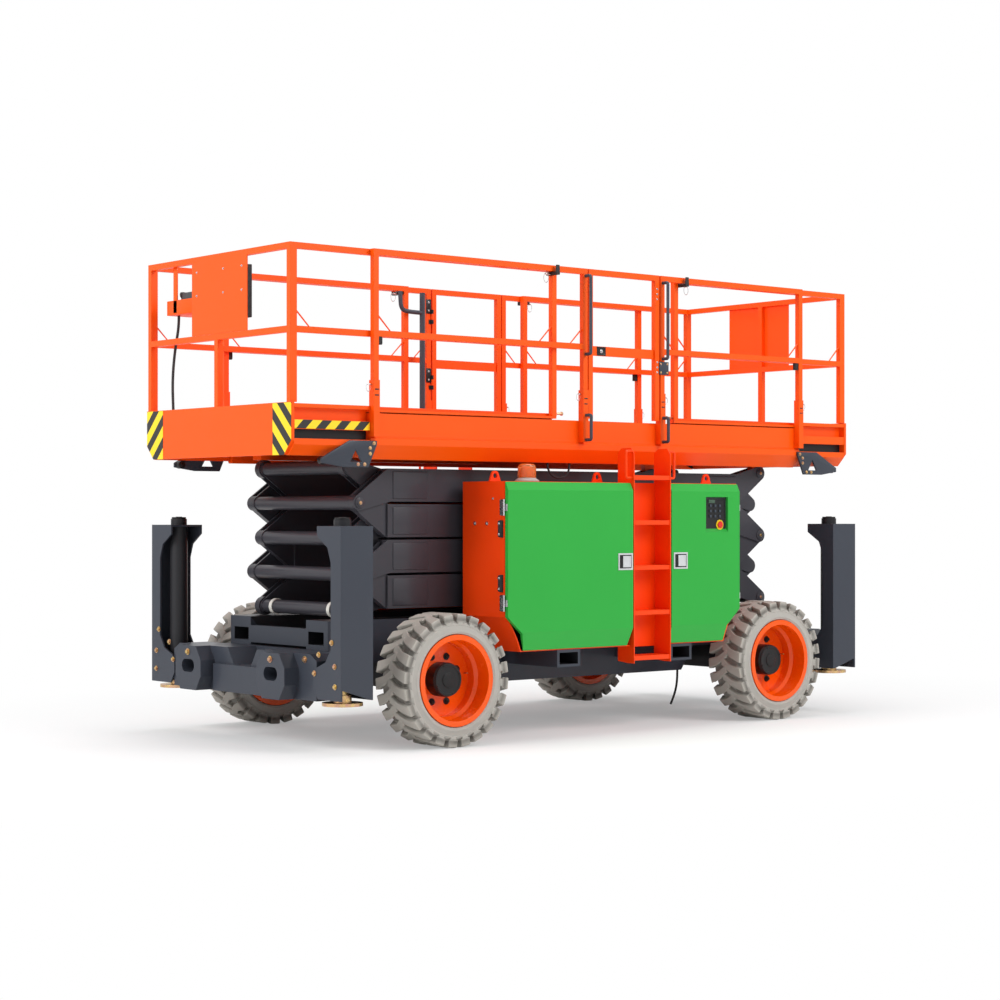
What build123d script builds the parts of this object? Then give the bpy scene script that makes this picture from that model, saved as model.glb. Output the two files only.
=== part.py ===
from build123d import *
import os
from math import atan2, cos, degrees, hypot, radians, sin, sqrt, tan

os.makedirs("parts", exist_ok=True)

# Driving dimensions, in millimetres and degrees
wheelbase = 2920.0
overall_width = 2300.0
tyre_diameter = 838.0
tyre_width = 300.0
bead_radius = 264.0
rim_flange_radius = 287.5
rim_disc_depth = 190.0
hub_cap_radius = 108.0
spindle_radius = 60.0
kingpin_radius = 28.0
kingpin_y = 790.0

platform_length = 5000.0
floor_z = 2000.0
rail_top_z = 3105.0
mid_rail_z = 2580.0
tube = 38.0
extension_rail_y = 834.0
main_deck_left = -1905.0
main_deck_right = 1990.0
gate_left = -127.0
gate_right = 551.0
left_extension_end = -365.0
right_extension_end = 725.0

hood_length = 2100.0
hood_top_z = 1668.0
hood_bottom_z = 575.0
hood_inner_y = 690.0
hood_sheet = 8.0
door_depth = 28.0
ladder_left = 43.0
ladder_width = 343.0
ladder_depth = 158.0
step_pitch = 302.0

pivot_span = 3640.0
pivot_base_z = 845.0
pivot_pitch = 228.0
arm_depth = 212.0
arm_width = 80.0
outer_arm_y = 610.0
arm_gap = 15.0
arm_beam_span = 3200.0
fork_plate = 14.0
fork_boss_radius = 50.0
pivot_pin_radius = 26.0
cross_tube_radius = 45.0
roller_radius = 60.0
lift_angle = 52.0

frame_outer_y = 560.0
frame_inner_y = 320.0
frame_bottom_z = 340.0
axle_clear_z = 510.0
frame_end = 2030.0

column_x = 2195.0
column_width = 240.0
column_y = 1100.0
column_top_z = 1385.0
column_plate = 12.0
jack_y = 950.0
jack_radius = 60.0
jack_rod_radius = 40.0
foot_radius = 125.0
foot_z = 292.0

# Clearances, in millimetres
pin_clearance = 0.3
side_clearance = 1.0
door_clearance = 5.0
hinge_play = 0.4
knuckle_half = 22.0
hinge_half = 52.0
running_clearance = 0.5

# Values that follow from the sizes above
half_base = wheelbase / 2
tyre_radius = tyre_diameter / 2
axle_z = tyre_radius
wheel_y = (overall_width - tyre_width) / 2
half_tyre = tyre_width / 2
side_y = overall_width / 2
half_span = pivot_span / 2
half_arm = hypot(half_span, pivot_pitch / 2)
rest_angle = degrees(atan2(pivot_pitch / 2, half_span))
inner_arm_y = outer_arm_y - arm_width - arm_gap
track_z = pivot_base_z - roller_radius - running_clearance
top_pivot_z = pivot_base_z + 4 * pivot_pitch
deck_track_z = top_pivot_z + roller_radius + running_clearance
half_platform = platform_length / 2
half_hood = hood_length / 2


def block(x_span, y_span, z_span, mode=Mode.ADD):
    # Adds a block that fills three spans to the part being built
    spans = (x_span, y_span, z_span)
    with Locations(tuple((a + b) / 2 for a, b in spans)):
        Box(*(abs(b - a) for a, b in spans), mode=mode)


def side_plate(points, y_span, mode=Mode.ADD):
    # Extrudes an outline of x and z values across a span of y
    low, high = sorted(y_span)
    with BuildSketch(Plane.XZ.offset(-high)) as outline:
        Polygon(*points, align=None)
    extrude(outline.sketch, amount=high - low, mode=mode)


def end_plate(points, x_span, mode=Mode.ADD):
    # Extrudes an outline of y and z values along a span of x
    low, high = sorted(x_span)
    with BuildSketch(Plane.YZ.offset(low)) as outline:
        Polygon(*points, align=None)
    extrude(outline.sketch, amount=high - low, mode=mode)


def cross_rod(x, z, radius, y_span, mode=Mode.ADD):
    # Adds a round bar that lies across the machine
    low, high = sorted(y_span)
    with BuildSketch(Plane.XZ.offset(-high)) as outline:
        with Locations((x, z)):
            Circle(radius)
    extrude(outline.sketch, amount=high - low, mode=mode)


def post(x, y, radius, z_span, mode=Mode.ADD):
    # Adds an upright round bar
    low, high = sorted(z_span)
    with BuildSketch(Plane.XY.offset(low)) as outline:
        with Locations((x, y)):
            Circle(radius)
    extrude(outline.sketch, amount=high - low, mode=mode)


def lug(x, z, radius, strip_x, strip_z, y_span, mode=Mode.ADD):
    # Adds a plate that narrows from a straight strip to a round boss
    low, high = sorted(y_span)
    with BuildSketch(Plane.XZ.offset(-high)) as outline:
        with Locations((x, z)):
            Circle(radius)
        with Locations((sum(strip_x) / 2, sum(strip_z) / 2)):
            Rectangle(abs(strip_x[1] - strip_x[0]), abs(strip_z[1] - strip_z[0]))
        make_hull()
    extrude(outline.sketch, amount=high - low, mode=mode)


def mirrored_x(points):
    # Mirrors an outline of x and z values to the other end
    return [(-x, z) for x, z in points]


# Chassis frame with fork pockets and the pivot lugs of the lowest arms
pocket_x = 510.0
pocket_width = 160.0
pocket_low_z = 480.0
pocket_high_z = 556.0
end_pocket_y = (345.0, 515.0)
end_pocket_z = (630.0, 712.0)
rail_outline = [
    (-frame_end, axle_clear_z),
    (-half_base + 280, axle_clear_z),
    (-half_base + 400, frame_bottom_z),
    (half_base - 400, frame_bottom_z),
    (half_base - 280, axle_clear_z),
    (frame_end, axle_clear_z),
    (frame_end, track_z),
    (-frame_end, track_z),
]
with BuildPart() as chassis_frame:
    side_plate(rail_outline, (frame_inner_y, frame_outer_y))
    lug_y = (outer_arm_y - fork_plate - side_clearance, outer_arm_y - arm_width + fork_plate + side_clearance)
    lug(half_span, pivot_base_z, fork_boss_radius, (half_span - 130, half_span + 90), (560, 700), lug_y)
    cross_rod(half_span, pivot_base_z, pivot_pin_radius + pin_clearance, lug_y, Mode.SUBTRACT)
    mirror(about=Plane.XZ)
    for x in (-half_base + 330, 0, half_base - 330):
        block((x - 70, x + 70), (-frame_inner_y, frame_inner_y), (frame_bottom_z + 60, 690))
    for x in (-pocket_x, pocket_x):
        block((x - pocket_width / 2 - 20, x + pocket_width / 2 + 20), (-side_y + 30, side_y - 30),
              (pocket_low_z - 18, hood_bottom_z))
        block((x - pocket_width / 2, x + pocket_width / 2), (-side_y, side_y),
              (pocket_low_z, pocket_high_z), Mode.SUBTRACT)
    for end in (-1, 1):
        block((end * (frame_end - 50), end * frame_end), (-frame_inner_y, frame_inner_y), (615, 727))
        for side in (-1, 1):
            block((end * (frame_end - 600), end * frame_end), tuple(side * y for y in end_pocket_y),
                  end_pocket_z, Mode.SUBTRACT)
chassis_frame.part.label = "chassis_frame"
export_step(chassis_frame.part, "parts/chassis_frame.step")

# Axles
axle_half_height = 75.0
axle_half_width = 85.0
fork_throat_y = kingpin_y - 100.0
kingpin_arm = (112.0, 160.0)


def axle_beam(x, half_length):
    # Adds an axle's beam and its seats under the frame
    block((x - axle_half_width, x + axle_half_width), (-half_length, half_length),
          (axle_z - axle_half_height, axle_z + axle_half_height))
    for side in (-1, 1):
        block((x - axle_half_width - 20, x + axle_half_width + 20),
              (side * (frame_inner_y + 10), side * (frame_outer_y - 10)), (axle_z, axle_clear_z))


with BuildPart() as front_axle:
    axle_beam(-half_base, fork_throat_y)
    for side in (-1, 1):
        block((-half_base - axle_half_width, -half_base + axle_half_width),
              (side * (fork_throat_y - 50), side * fork_throat_y),
              (axle_z - kingpin_arm[1], axle_z + kingpin_arm[1]))
        for low, high in (kingpin_arm, (-kingpin_arm[1], -kingpin_arm[0])):
            with BuildSketch(Plane.XY.offset(axle_z + low)):
                with Locations((-half_base, side * kingpin_y)):
                    Circle(kingpin_radius + 18)
                with Locations((-half_base, side * (fork_throat_y - 25))):
                    Rectangle(2 * axle_half_width, 50)
                make_hull()
            extrude(amount=high - low)
        post(-half_base, side * kingpin_y, kingpin_radius + pin_clearance,
             (axle_z - kingpin_arm[1], axle_z + kingpin_arm[1]), Mode.SUBTRACT)
front_axle.part.label = "front_axle"
export_step(front_axle.part, "parts/front_axle.step")

with BuildPart() as rear_axle:
    axle_beam(half_base, 640.0)
    for side in (-1, 1):
        cross_rod(half_base, axle_z, 95, (side * 600, side * (wheel_y - 106)))
    cross_rod(half_base, axle_z, spindle_radius, (-wheel_y + 4, wheel_y - 4))
rear_axle.part.label = "rear_axle"
export_step(rear_axle.part, "parts/rear_axle.step")

# Wheels and tyres: sections of radius and distance towards the machine
rim_section = [
    (0, -55),
    (hub_cap_radius - 13, -55),
    (hub_cap_radius, -42),
    (hub_cap_radius, rim_disc_depth - half_tyre),
    (235, rim_disc_depth - half_tyre),
    (235, -20),
    (254, -40),
    (254, -half_tyre + 2),
    (rim_flange_radius, -half_tyre + 2),
    (rim_flange_radius, -half_tyre + 14),
    (bead_radius - 0.5, -half_tyre + 30),
    (bead_radius - 0.5, half_tyre - 30),
    (rim_flange_radius, half_tyre - 14),
    (rim_flange_radius, half_tyre - 2),
    (252, half_tyre - 2),
    (252, rim_disc_depth - half_tyre + 16),
    (125, rim_disc_depth - half_tyre + 16),
    (125, 100),
    (spindle_radius + running_clearance, 100),
    (spindle_radius + running_clearance, 0),
    (0, 0),
]
tyre_section = [
    (bead_radius, -half_tyre + 34),
    (304, -half_tyre + 10),
    (350, -half_tyre),
    (tyre_radius - 22, -half_tyre + 3),
    (tyre_radius, -half_tyre + 18),
    (tyre_radius, half_tyre - 18),
    (tyre_radius - 22, half_tyre - 3),
    (350, half_tyre),
    (304, half_tyre - 10),
    (bead_radius, half_tyre - 34),
]


def wheel_plane(x, side):
    # Gives a plane on the wheel's axle with its y axis towards the machine
    return Plane(origin=(x, side * wheel_y, axle_z), x_dir=(1, 0, 0), z_dir=(0, 0, -side))


wheel_places = {
    "front_left": (-half_base, -1),
    "front_right": (-half_base, 1),
    "rear_left": (half_base, -1),
    "rear_right": (half_base, 1),
}
for place, (x, side) in wheel_places.items():
    wheel_axis = Axis((x, 0, axle_z), (0, 1, 0))
    with BuildPart() as tyre:
        with BuildSketch(wheel_plane(x, side)):
            Polygon(*tyre_section, align=None)
        revolve(axis=wheel_axis)
    tyre.part.label = "tyre_" + place
    export_step(tyre.part, "parts/tyre_" + place + ".step")

    with BuildPart() as wheel:
        with BuildSketch(wheel_plane(x, side)):
            Polygon(*rim_section, align=None)
        revolve(axis=wheel_axis)
    wheel.part.label = "wheel_" + place
    export_step(wheel.part, "parts/wheel_" + place + ".step")

# Steering knuckles
spindle_section = [(0, 4), (spindle_radius, 4), (spindle_radius, 106), (95, 106), (95, 130), (0, 130)]
for place in ("front_left", "front_right"):
    x, side = wheel_places[place]
    with BuildPart() as knuckle:
        with BuildSketch(wheel_plane(x, side)):
            Polygon(*spindle_section, align=None)
        revolve(axis=Axis((x, 0, axle_z), (0, 1, 0)))
        block((x - 58, x + 58), (side * (wheel_y - 125), side * (kingpin_y - 52)), (axle_z - 105, axle_z + 105))
        post(x, side * kingpin_y, kingpin_radius, (axle_z - kingpin_arm[1] - 5, axle_z + kingpin_arm[1] + 5))
    knuckle.part.label = "knuckle_" + place
    export_step(knuckle.part, "parts/knuckle_" + place + ".step")

# Outrigger beams across both ends, with tie-down lugs
beam_z = (315.0, 490.0)
beam_top_z = 600.0
column_in = column_x - column_width / 2 + column_plate
column_out = column_x + column_width / 2 - column_plate
tie_y = 483.0
tie_face = 2410.0
with BuildPart() as outrigger_beams:
    block((column_in, column_out + 30), (-300, 300), beam_z)
    block((frame_end, column_in), (-frame_outer_y, frame_outer_y), (beam_z[0], beam_top_z))
    for side in (-1, 1):
        bracket = [(100, beam_z[0]), (100, beam_z[1]), (170, beam_top_z), (760, beam_top_z),
                   (830, beam_top_z - 40), (830, beam_z[0])]
        end_plate([(side * y, z) for y, z in bracket], (column_in, column_out))
        tie = [(-155, 405), (-155, 510), (-95, 600), (95, 600), (155, 510), (155, 405), (95, 313), (-95, 313)]
        end_plate([(side * tie_y + y, z) for y, z in tie], (column_out, tie_face))
        with BuildSketch(Plane.YZ.offset(column_out)):
            with Locations((side * tie_y, 470)):
                SlotOverall(150, 84)
        extrude(amount=tie_face - column_out, mode=Mode.SUBTRACT)
    mirror(about=Plane.YZ)
outrigger_beams.part.label = "outrigger_beams"
export_step(outrigger_beams.part, "parts/outrigger_beams.step")

# Outrigger columns, open towards the middle, and the jack tubes in them
flange_outline = [
    (column_y, 330), (column_y, column_top_z), (850, column_top_z), (850, column_top_z - 60),
    (960, column_top_z - 130), (995, column_top_z - 220), (995, 640), (940, 560), (840, 520), (810, 480),
    (810, 400), (860, 330),
]
with BuildPart() as outrigger_columns:
    end_plate(flange_outline, (column_in - column_plate, column_in))
    end_plate(flange_outline, (column_out, column_out + column_plate))
    web = [(column_in, 330), (column_in, column_top_z), (column_out, column_top_z), (column_out, 396)]
    side_plate(web, (column_y - column_plate, column_y))
    block((column_in, column_out), (850, column_y - column_plate), (column_top_z - 14, column_top_z))
    block((column_in, column_out), (830, column_y - column_plate), (430, 450))
    post(column_x, jack_y, jack_radius, (400, column_top_z), Mode.SUBTRACT)
    mirror(about=Plane.XZ)
    mirror(about=Plane.YZ)
outrigger_columns.part.label = "outrigger_columns"
export_step(outrigger_columns.part, "parts/outrigger_columns.step")

with BuildPart() as jack_tubes:
    post(column_x, jack_y, jack_radius, (400, column_top_z))
    post(column_x, jack_y, jack_radius - 6, (column_top_z, column_top_z + 40))
    post(column_x, jack_y, jack_rod_radius + running_clearance, (400, 1270), Mode.SUBTRACT)
    mirror(about=Plane.XZ)
    mirror(about=Plane.YZ)
jack_tubes.part.label = "jack_tubes"
export_step(jack_tubes.part, "parts/jack_tubes.step")

for place, (x, side) in wheel_places.items():
    foot_x = column_x if x > 0 else -column_x
    with BuildPart() as jack:
        post(foot_x, side * jack_y, foot_radius, (foot_z, foot_z + 20))
        post(foot_x, side * jack_y, jack_radius - 4, (foot_z + 20, foot_z + 66))
        post(foot_x, side * jack_y, jack_rod_radius, (foot_z + 66, 1250))
    jack.part.label = "jack_" + place
    export_step(jack.part, "parts/jack_" + place + ".step")

# Hoods: sheet housings on both sides, open where the doors close them
hood_front_y = side_y - door_depth - door_clearance
ladder_back_y = side_y - ladder_depth
arch_radius = hypot(half_base - half_hood, 800 - axle_z)
eye_places = (-half_hood + 90, -70, half_hood - 90)
hinge_x = half_hood + 10
hinge_y = side_y - door_depth - 1
hinge_z = (890.0, 1500.0)
with BuildPart() as hoods:
    with BuildSketch(Plane.XZ.offset(-hood_front_y)) as hood_outline:
        with Locations((0, (hood_bottom_z + hood_top_z) / 2)):
            Rectangle(hood_length, hood_top_z - hood_bottom_z)
        with Locations((-half_base, axle_z), (half_base, axle_z)):
            Circle(arch_radius, mode=Mode.SUBTRACT)
    extrude(amount=hood_front_y - hood_inner_y)
    with BuildSketch(Plane.XZ.offset(-hood_front_y)):
        with Locations((0, (hood_bottom_z + hood_top_z) / 2)):
            Rectangle(hood_length - 2 * hood_sheet, hood_top_z - hood_bottom_z - 2 * hood_sheet)
        with Locations((-half_base, axle_z), (half_base, axle_z)):
            Circle(arch_radius + hood_sheet, mode=Mode.SUBTRACT)
    extrude(amount=hood_front_y - hood_inner_y - hood_sheet, mode=Mode.SUBTRACT)
    block((ladder_left - 8, ladder_left + ladder_width + 8), (ladder_back_y, side_y),
          (hood_bottom_z, hood_top_z), Mode.SUBTRACT)
    for x in eye_places:
        lug(x, hood_top_z + 40, 30, (x - 45, x + 45), (hood_top_z, hood_top_z + 4), (900, 914))
        cross_rod(x, hood_top_z + 38, 17, (900, 914), Mode.SUBTRACT)
    for end in (-1, 1):
        for z in hinge_z:
            block((end * half_hood, end * hinge_x), (hood_front_y - 32, hood_front_y - 6),
                  (z - hinge_half, z + hinge_half))
            for span in ((z - hinge_half, z - knuckle_half), (z + knuckle_half, z + hinge_half)):
                post(end * hinge_x, hinge_y, 8, span)
                block((end * (half_hood + 2), end * hinge_x), (hood_front_y - 10, hinge_y), span)
    mirror(about=Plane.XZ)
hoods.part.label = "hoods"
export_step(hoods.part, "parts/hoods.step")

# Hood doors
door_top_z = hood_top_z - 4
door_bottom_z = hood_bottom_z + 8
door_back_y = side_y - door_depth
door_section = [(side_y, 700), (side_y, door_top_z - 52), (door_back_y + 2, door_top_z),
                (door_back_y, door_top_z), (door_back_y, door_bottom_z), (side_y - 22, door_bottom_z)]
left_door = [(-half_hood, door_top_z), (ladder_left - 7, door_top_z), (ladder_left - 7, 700),
             (ladder_left - 43, door_bottom_z), (-half_hood + 145, door_bottom_z), (-half_hood + 123, 690),
             (-half_hood, 800)]
right_edge = ladder_left + ladder_width + 7
right_door = [(half_hood, door_top_z), (right_edge, door_top_z), (right_edge, door_bottom_z),
              (half_hood - 145, door_bottom_z), (half_hood - 123, 690), (half_hood, 800)]
panel_x = (720.0, 934.0)
panel_z = (1333.0, 1574.0)
for name, side, end, outline in (
    ("door_near_left", -1, -1, left_door),
    ("door_near_right", -1, 1, right_door),
    ("door_far_left", 1, -1, left_door),
    ("door_far_right", 1, 1, right_door),
):
    with BuildPart() as door:
        end_plate([(side * y, z) for y, z in door_section], (-half_hood, half_hood))
        side_plate(outline, (side * door_back_y, side * side_y), Mode.INTERSECT)
        for z in hinge_z:
            span = (z - knuckle_half + hinge_play, z + knuckle_half - hinge_play)
            post(end * hinge_x, side * hinge_y, 8, span)
            block((end * (half_hood - 4), end * hinge_x), (side * (hinge_y + 3), side * (side_y - 4)), span)
        if name == "door_near_right":
            block(panel_x, (-side_y, -door_back_y), panel_z, Mode.SUBTRACT)
    door.part.label = name
    export_step(door.part, "parts/" + name + ".step")

with BuildPart() as ground_control:
    block(panel_x, (-door_back_y - 8, -door_back_y + 4), panel_z)
    block((panel_x[0] + 40, panel_x[0] + 80), (-door_back_y - 18, -door_back_y), (panel_z[1] - 90, panel_z[1] - 50))
    post_plane_x = panel_x[1] - 60
    cross_rod(post_plane_x, panel_z[1] - 70, 20, (-door_back_y - 22, -door_back_y))
ground_control.part.label = "ground_control"
export_step(ground_control.part, "parts/ground_control.step")

# Ladders between the doors
stile = 8.0
ladder_right = ladder_left + ladder_width
stile_outline = [(ladder_back_y, 470), (ladder_back_y, 1870), (ladder_back_y + 40, 1900), (side_y - 30, 1900),
                 (side_y, 1860), (side_y, 460), (side_y - 60, 460)]
with BuildPart() as ladders:
    end_plate(stile_outline, (ladder_left, ladder_left + stile))
    end_plate(stile_outline, (ladder_right - stile, ladder_right))
    block((ladder_left, ladder_right), (ladder_back_y, ladder_back_y + 8), (560, hood_top_z))
    for step in range(5):
        z = 509 + step * step_pitch
        block((ladder_left, ladder_right), (ladder_back_y + 4, side_y - 4), (z - 30, z))
    mirror(about=Plane.XZ)
ladders.part.label = "ladders"
export_step(ladders.part, "parts/ladders.step")

# Battery packs inside the hoods, drawn as plain blocks
with BuildPart() as battery_packs:
    block((-half_hood + 250, -20), (hood_inner_y + 60, ladder_back_y), (hood_bottom_z + hood_sheet, 1150))
    block((460, half_hood - 250), (hood_inner_y + 60, ladder_back_y), (hood_bottom_z + hood_sheet, 1150))
    mirror(about=Plane.XZ)
battery_packs.part.label = "battery_packs"
export_step(battery_packs.part, "parts/battery_packs.step")

# Flashing beacon on the near hood
beacon_x = -715.0
beacon_y = -940.0
with BuildPart() as beacon:
    post(beacon_x, beacon_y, 80, (hood_top_z, hood_top_z + 25))
    post(beacon_x, beacon_y, 62, (hood_top_z + 25, hood_top_z + 120))
beacon.part.label = "beacon"
export_step(beacon.part, "parts/beacon.step")

# Scissor arms: each pair has a low and a high end, as a fork or a tongue
centre_pin_radius = 35.0


def arm_end(x, z, centre_z, y_in, kind):
    # Adds one arm end around a pivot and its pin or its bore
    out = arm_beam_span / 2
    strip_x = (out - 20, out) if x > 0 else (-out, -out + 20)
    strip_z = (centre_z - arm_depth / 2, centre_z + arm_depth / 2)
    y_out = y_in + arm_width
    if kind == "tongue":
        play = fork_plate + side_clearance
        lug(x, z, fork_boss_radius, strip_x, strip_z, (y_in + play, y_out - play))
        cross_rod(x, z, pivot_pin_radius + pin_clearance, (y_in, y_out), Mode.SUBTRACT)
    else:
        lug(x, z, fork_boss_radius, strip_x, strip_z, (y_in, y_in + fork_plate))
        lug(x, z, fork_boss_radius, strip_x, strip_z, (y_out - fork_plate, y_out))
        cross_rod(x, z, pivot_pin_radius, (y_in, y_out))
    if kind == "roller":
        cross_rod(x, z, roller_radius, (y_in + fork_plate, y_out - fork_plate))


# Lift cylinders: the pins' distances from the arm centres along the pivot lines
cylinder_length = 1920.0
cylinder_rise = 1.6 * cylinder_length
low_pin = (2 * half_arm - cylinder_rise - cylinder_length) / 2
high_pin = (2 * half_arm - cylinder_rise + cylinder_length) / 2
rest = radians(rest_angle)
barrel_radius = 70.0
lift_rod_radius = 40.0
eye_radius = 62.0
eye_half_width = 45.0


def low_pin_at(level):
    # Gives x and z of a cylinder's lower pin on the inner arms of a level
    centre_z = pivot_base_z + (level - 0.5) * pivot_pitch
    return low_pin * cos(rest), centre_z + low_pin * sin(rest)


def high_pin_at(level):
    # Gives x and z of a cylinder's upper pin on the inner arms of a level
    centre_z = pivot_base_z + (level - 0.5) * pivot_pitch
    return high_pin * cos(rest), centre_z - high_pin * sin(rest)


for level in (1, 2, 3, 4):
    centre_z = pivot_base_z + (level - 0.5) * pivot_pitch
    low_z = centre_z - pivot_pitch / 2
    high_z = centre_z + pivot_pitch / 2
    outer_low_x = half_span if level % 2 else -half_span
    beam_span = (-arm_beam_span / 2, arm_beam_span / 2)
    arm_z = (centre_z - arm_depth / 2, centre_z + arm_depth / 2)

    outer_in = outer_arm_y - arm_width
    with BuildPart() as outer_arms:
        block(beam_span, (outer_in, outer_arm_y), arm_z)
        arm_end(outer_low_x, low_z, centre_z, outer_in, "fork")
        arm_end(-outer_low_x, high_z, centre_z, outer_in, "fork" if level == 4 else "tongue")
        cross_rod(0, centre_z, centre_pin_radius, (inner_arm_y - arm_width, outer_arm_y))
        mirror(about=Plane.XZ)
        cross_rod(outer_low_x, low_z, cross_tube_radius, (-outer_in - 4, outer_in + 4))
    outer_arms.part.label = "outer_arms_" + str(level)
    export_step(outer_arms.part, "parts/outer_arms_" + str(level) + ".step")

    inner_in = inner_arm_y - arm_width
    with BuildPart() as inner_arms:
        block(beam_span, (inner_in, inner_arm_y), arm_z)
        arm_end(-outer_low_x, low_z, centre_z, inner_in, "roller" if level == 1 else "fork")
        arm_end(outer_low_x, high_z, centre_z, inner_in, "roller" if level == 4 else "tongue")
        cross_rod(0, centre_z, centre_pin_radius + pin_clearance, (inner_in, inner_arm_y), Mode.SUBTRACT)
        mirror(about=Plane.XZ)
        cross_rod(-outer_low_x, low_z, cross_tube_radius, (-inner_in - 4, inner_in + 4))
        if level == 4:
            cross_rod(outer_low_x, high_z, cross_tube_radius, (-inner_in - 4, inner_in + 4))
        if level in (1, 3):
            pin_x, pin_z = low_pin_at(level)
            cross_rod(pin_x, pin_z, cross_tube_radius, (-inner_in - 4, inner_in + 4))
        else:
            pin_x, pin_z = high_pin_at(level)
            bar_x = pin_x - 190
            bar_z = centre_z + 30
            cross_rod(bar_x, bar_z, cross_tube_radius, (-inner_in - 4, inner_in + 4))
            for side in (-1, 1):
                cheek = (side * (eye_half_width + 6), side * (eye_half_width + 26))
                lug(pin_x, pin_z, eye_radius - 12, (bar_x - 30, bar_x + 30), (bar_z - 30, bar_z + 30), cheek)
    inner_arms.part.label = "inner_arms_" + str(level)
    export_step(inner_arms.part, "parts/inner_arms_" + str(level) + ".step")

for name, level in (("lower", 1), ("upper", 3)):
    low_x, low_z = low_pin_at(level)
    high_x, high_z = high_pin_at(level + 1)
    reach = hypot(high_x - low_x, high_z - low_z)
    along = Plane(origin=(low_x, 0, low_z), x_dir=(0, 1, 0), z_dir=(high_x - low_x, 0, high_z - low_z))
    barrel_end = reach - 300
    with BuildPart() as barrel:
        cross_rod(low_x, low_z, cross_tube_radius + 30, (-eye_half_width, eye_half_width))
        with BuildSketch(along.offset(50)):
            Circle(barrel_radius)
        extrude(amount=barrel_end - 50)
        with BuildSketch(along.offset(130)):
            Circle(lift_rod_radius + running_clearance)
        extrude(amount=barrel_end - 130, mode=Mode.SUBTRACT)
        cross_rod(low_x, low_z, cross_tube_radius + running_clearance, (-barrel_radius, barrel_radius), Mode.SUBTRACT)
    barrel.part.label = "lift_barrel_" + name
    export_step(barrel.part, "parts/lift_barrel_" + name + ".step")

    with BuildPart() as rod:
        with BuildSketch(along.offset(reach - 1250)):
            Circle(lift_rod_radius)
        extrude(amount=1250)
        cross_rod(high_x, high_z, eye_radius, (-eye_half_width, eye_half_width))
    rod.part.label = "lift_rod_" + name
    export_step(rod.part, "parts/lift_rod_" + name + ".step")

# Main deck of the platform
skirt_y = extension_rail_y - 2
skirt_in_y = skirt_y - 40
skirt_top_z = 2085.0
lip_z = 1937.0
deck_low_z = 1800.0
skirt_section = [
    (skirt_in_y, floor_z - 15), (skirt_in_y, skirt_top_z), (skirt_y, skirt_top_z), (skirt_y, lip_z),
    (skirt_y + 14, lip_z - 8), (skirt_y + 14, 1888), (skirt_y - 50, deck_low_z), (skirt_y - 90, deck_low_z),
    (skirt_y - 90, floor_z - 15),
]
deck_span = (main_deck_left, main_deck_right)
with BuildPart() as main_deck:
    end_plate(skirt_section, deck_span)
    block((-half_span - 60, 0), (inner_arm_y - arm_width - 10, inner_arm_y + 10), (deck_track_z, floor_z - 15))
    mirror(about=Plane.XZ)
    block(deck_span, (-skirt_in_y, skirt_in_y), (floor_z - 15, floor_z))
    for x in (main_deck_left + 40, -900, 60, 900, half_span, main_deck_right - 40):
        block((x - 40, x + 40), (-skirt_y + 90, skirt_y - 90), (deck_track_z + 40, floor_z - 15))
    lug_y = (outer_arm_y - fork_plate - side_clearance, outer_arm_y - arm_width + fork_plate + side_clearance)
    for side in (-1, 1):
        lug(half_span, top_pivot_z, fork_boss_radius, (half_span - 90, half_span + 40),
            (deck_track_z + 60, floor_z - 15), tuple(side * y for y in lug_y))
        cross_rod(half_span, top_pivot_z, pivot_pin_radius + pin_clearance,
                  tuple(side * y for y in lug_y), Mode.SUBTRACT)
main_deck.part.label = "main_deck"
export_step(main_deck.part, "parts/main_deck.step")

# Main guard rails: four fixed frames beside the gates
rail_y = (extension_rail_y + 6, extension_rail_y + 6 + tube)
rail_z = (rail_top_z - tube, rail_top_z)
mid_z = (mid_rail_z - tube / 2, mid_rail_z + tube / 2)
sleeve_z = (lip_z + 2, 2290.0)
gate_hinge_y = rail_y[0] - 11
gate_hinge_z = (2420.0, 2900.0)
with BuildPart() as main_rails:
    for x_low, x_high in ((main_deck_left, gate_left), (gate_right, main_deck_right)):
        block((x_low, x_high), rail_y, rail_z)
        block((x_low, x_high), rail_y, mid_z)
        for x in (x_low, x_high - tube):
            block((x, x + tube), rail_y, (sleeve_z[0], rail_top_z))
            block((x - 4, x + tube + 4), (skirt_y, rail_y[1] + 5), sleeve_z)
    mirror(about=Plane.XZ)
    for z in gate_hinge_z:
        for span in ((z - hinge_half, z - knuckle_half), (z + knuckle_half, z + hinge_half)):
            post(gate_right - 6, -gate_hinge_y, 9, span)
            block((gate_right - 6, gate_right + 20), (-gate_hinge_y - 6, -rail_y[0] - 4), span)
            post(gate_left + 6, gate_hinge_y, 9, span)
            block((gate_left - 20, gate_left + 6), (gate_hinge_y + 6, rail_y[0] + 4), span)
main_rails.part.label = "main_rails"
export_step(main_rails.part, "parts/main_rails.step")

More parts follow.
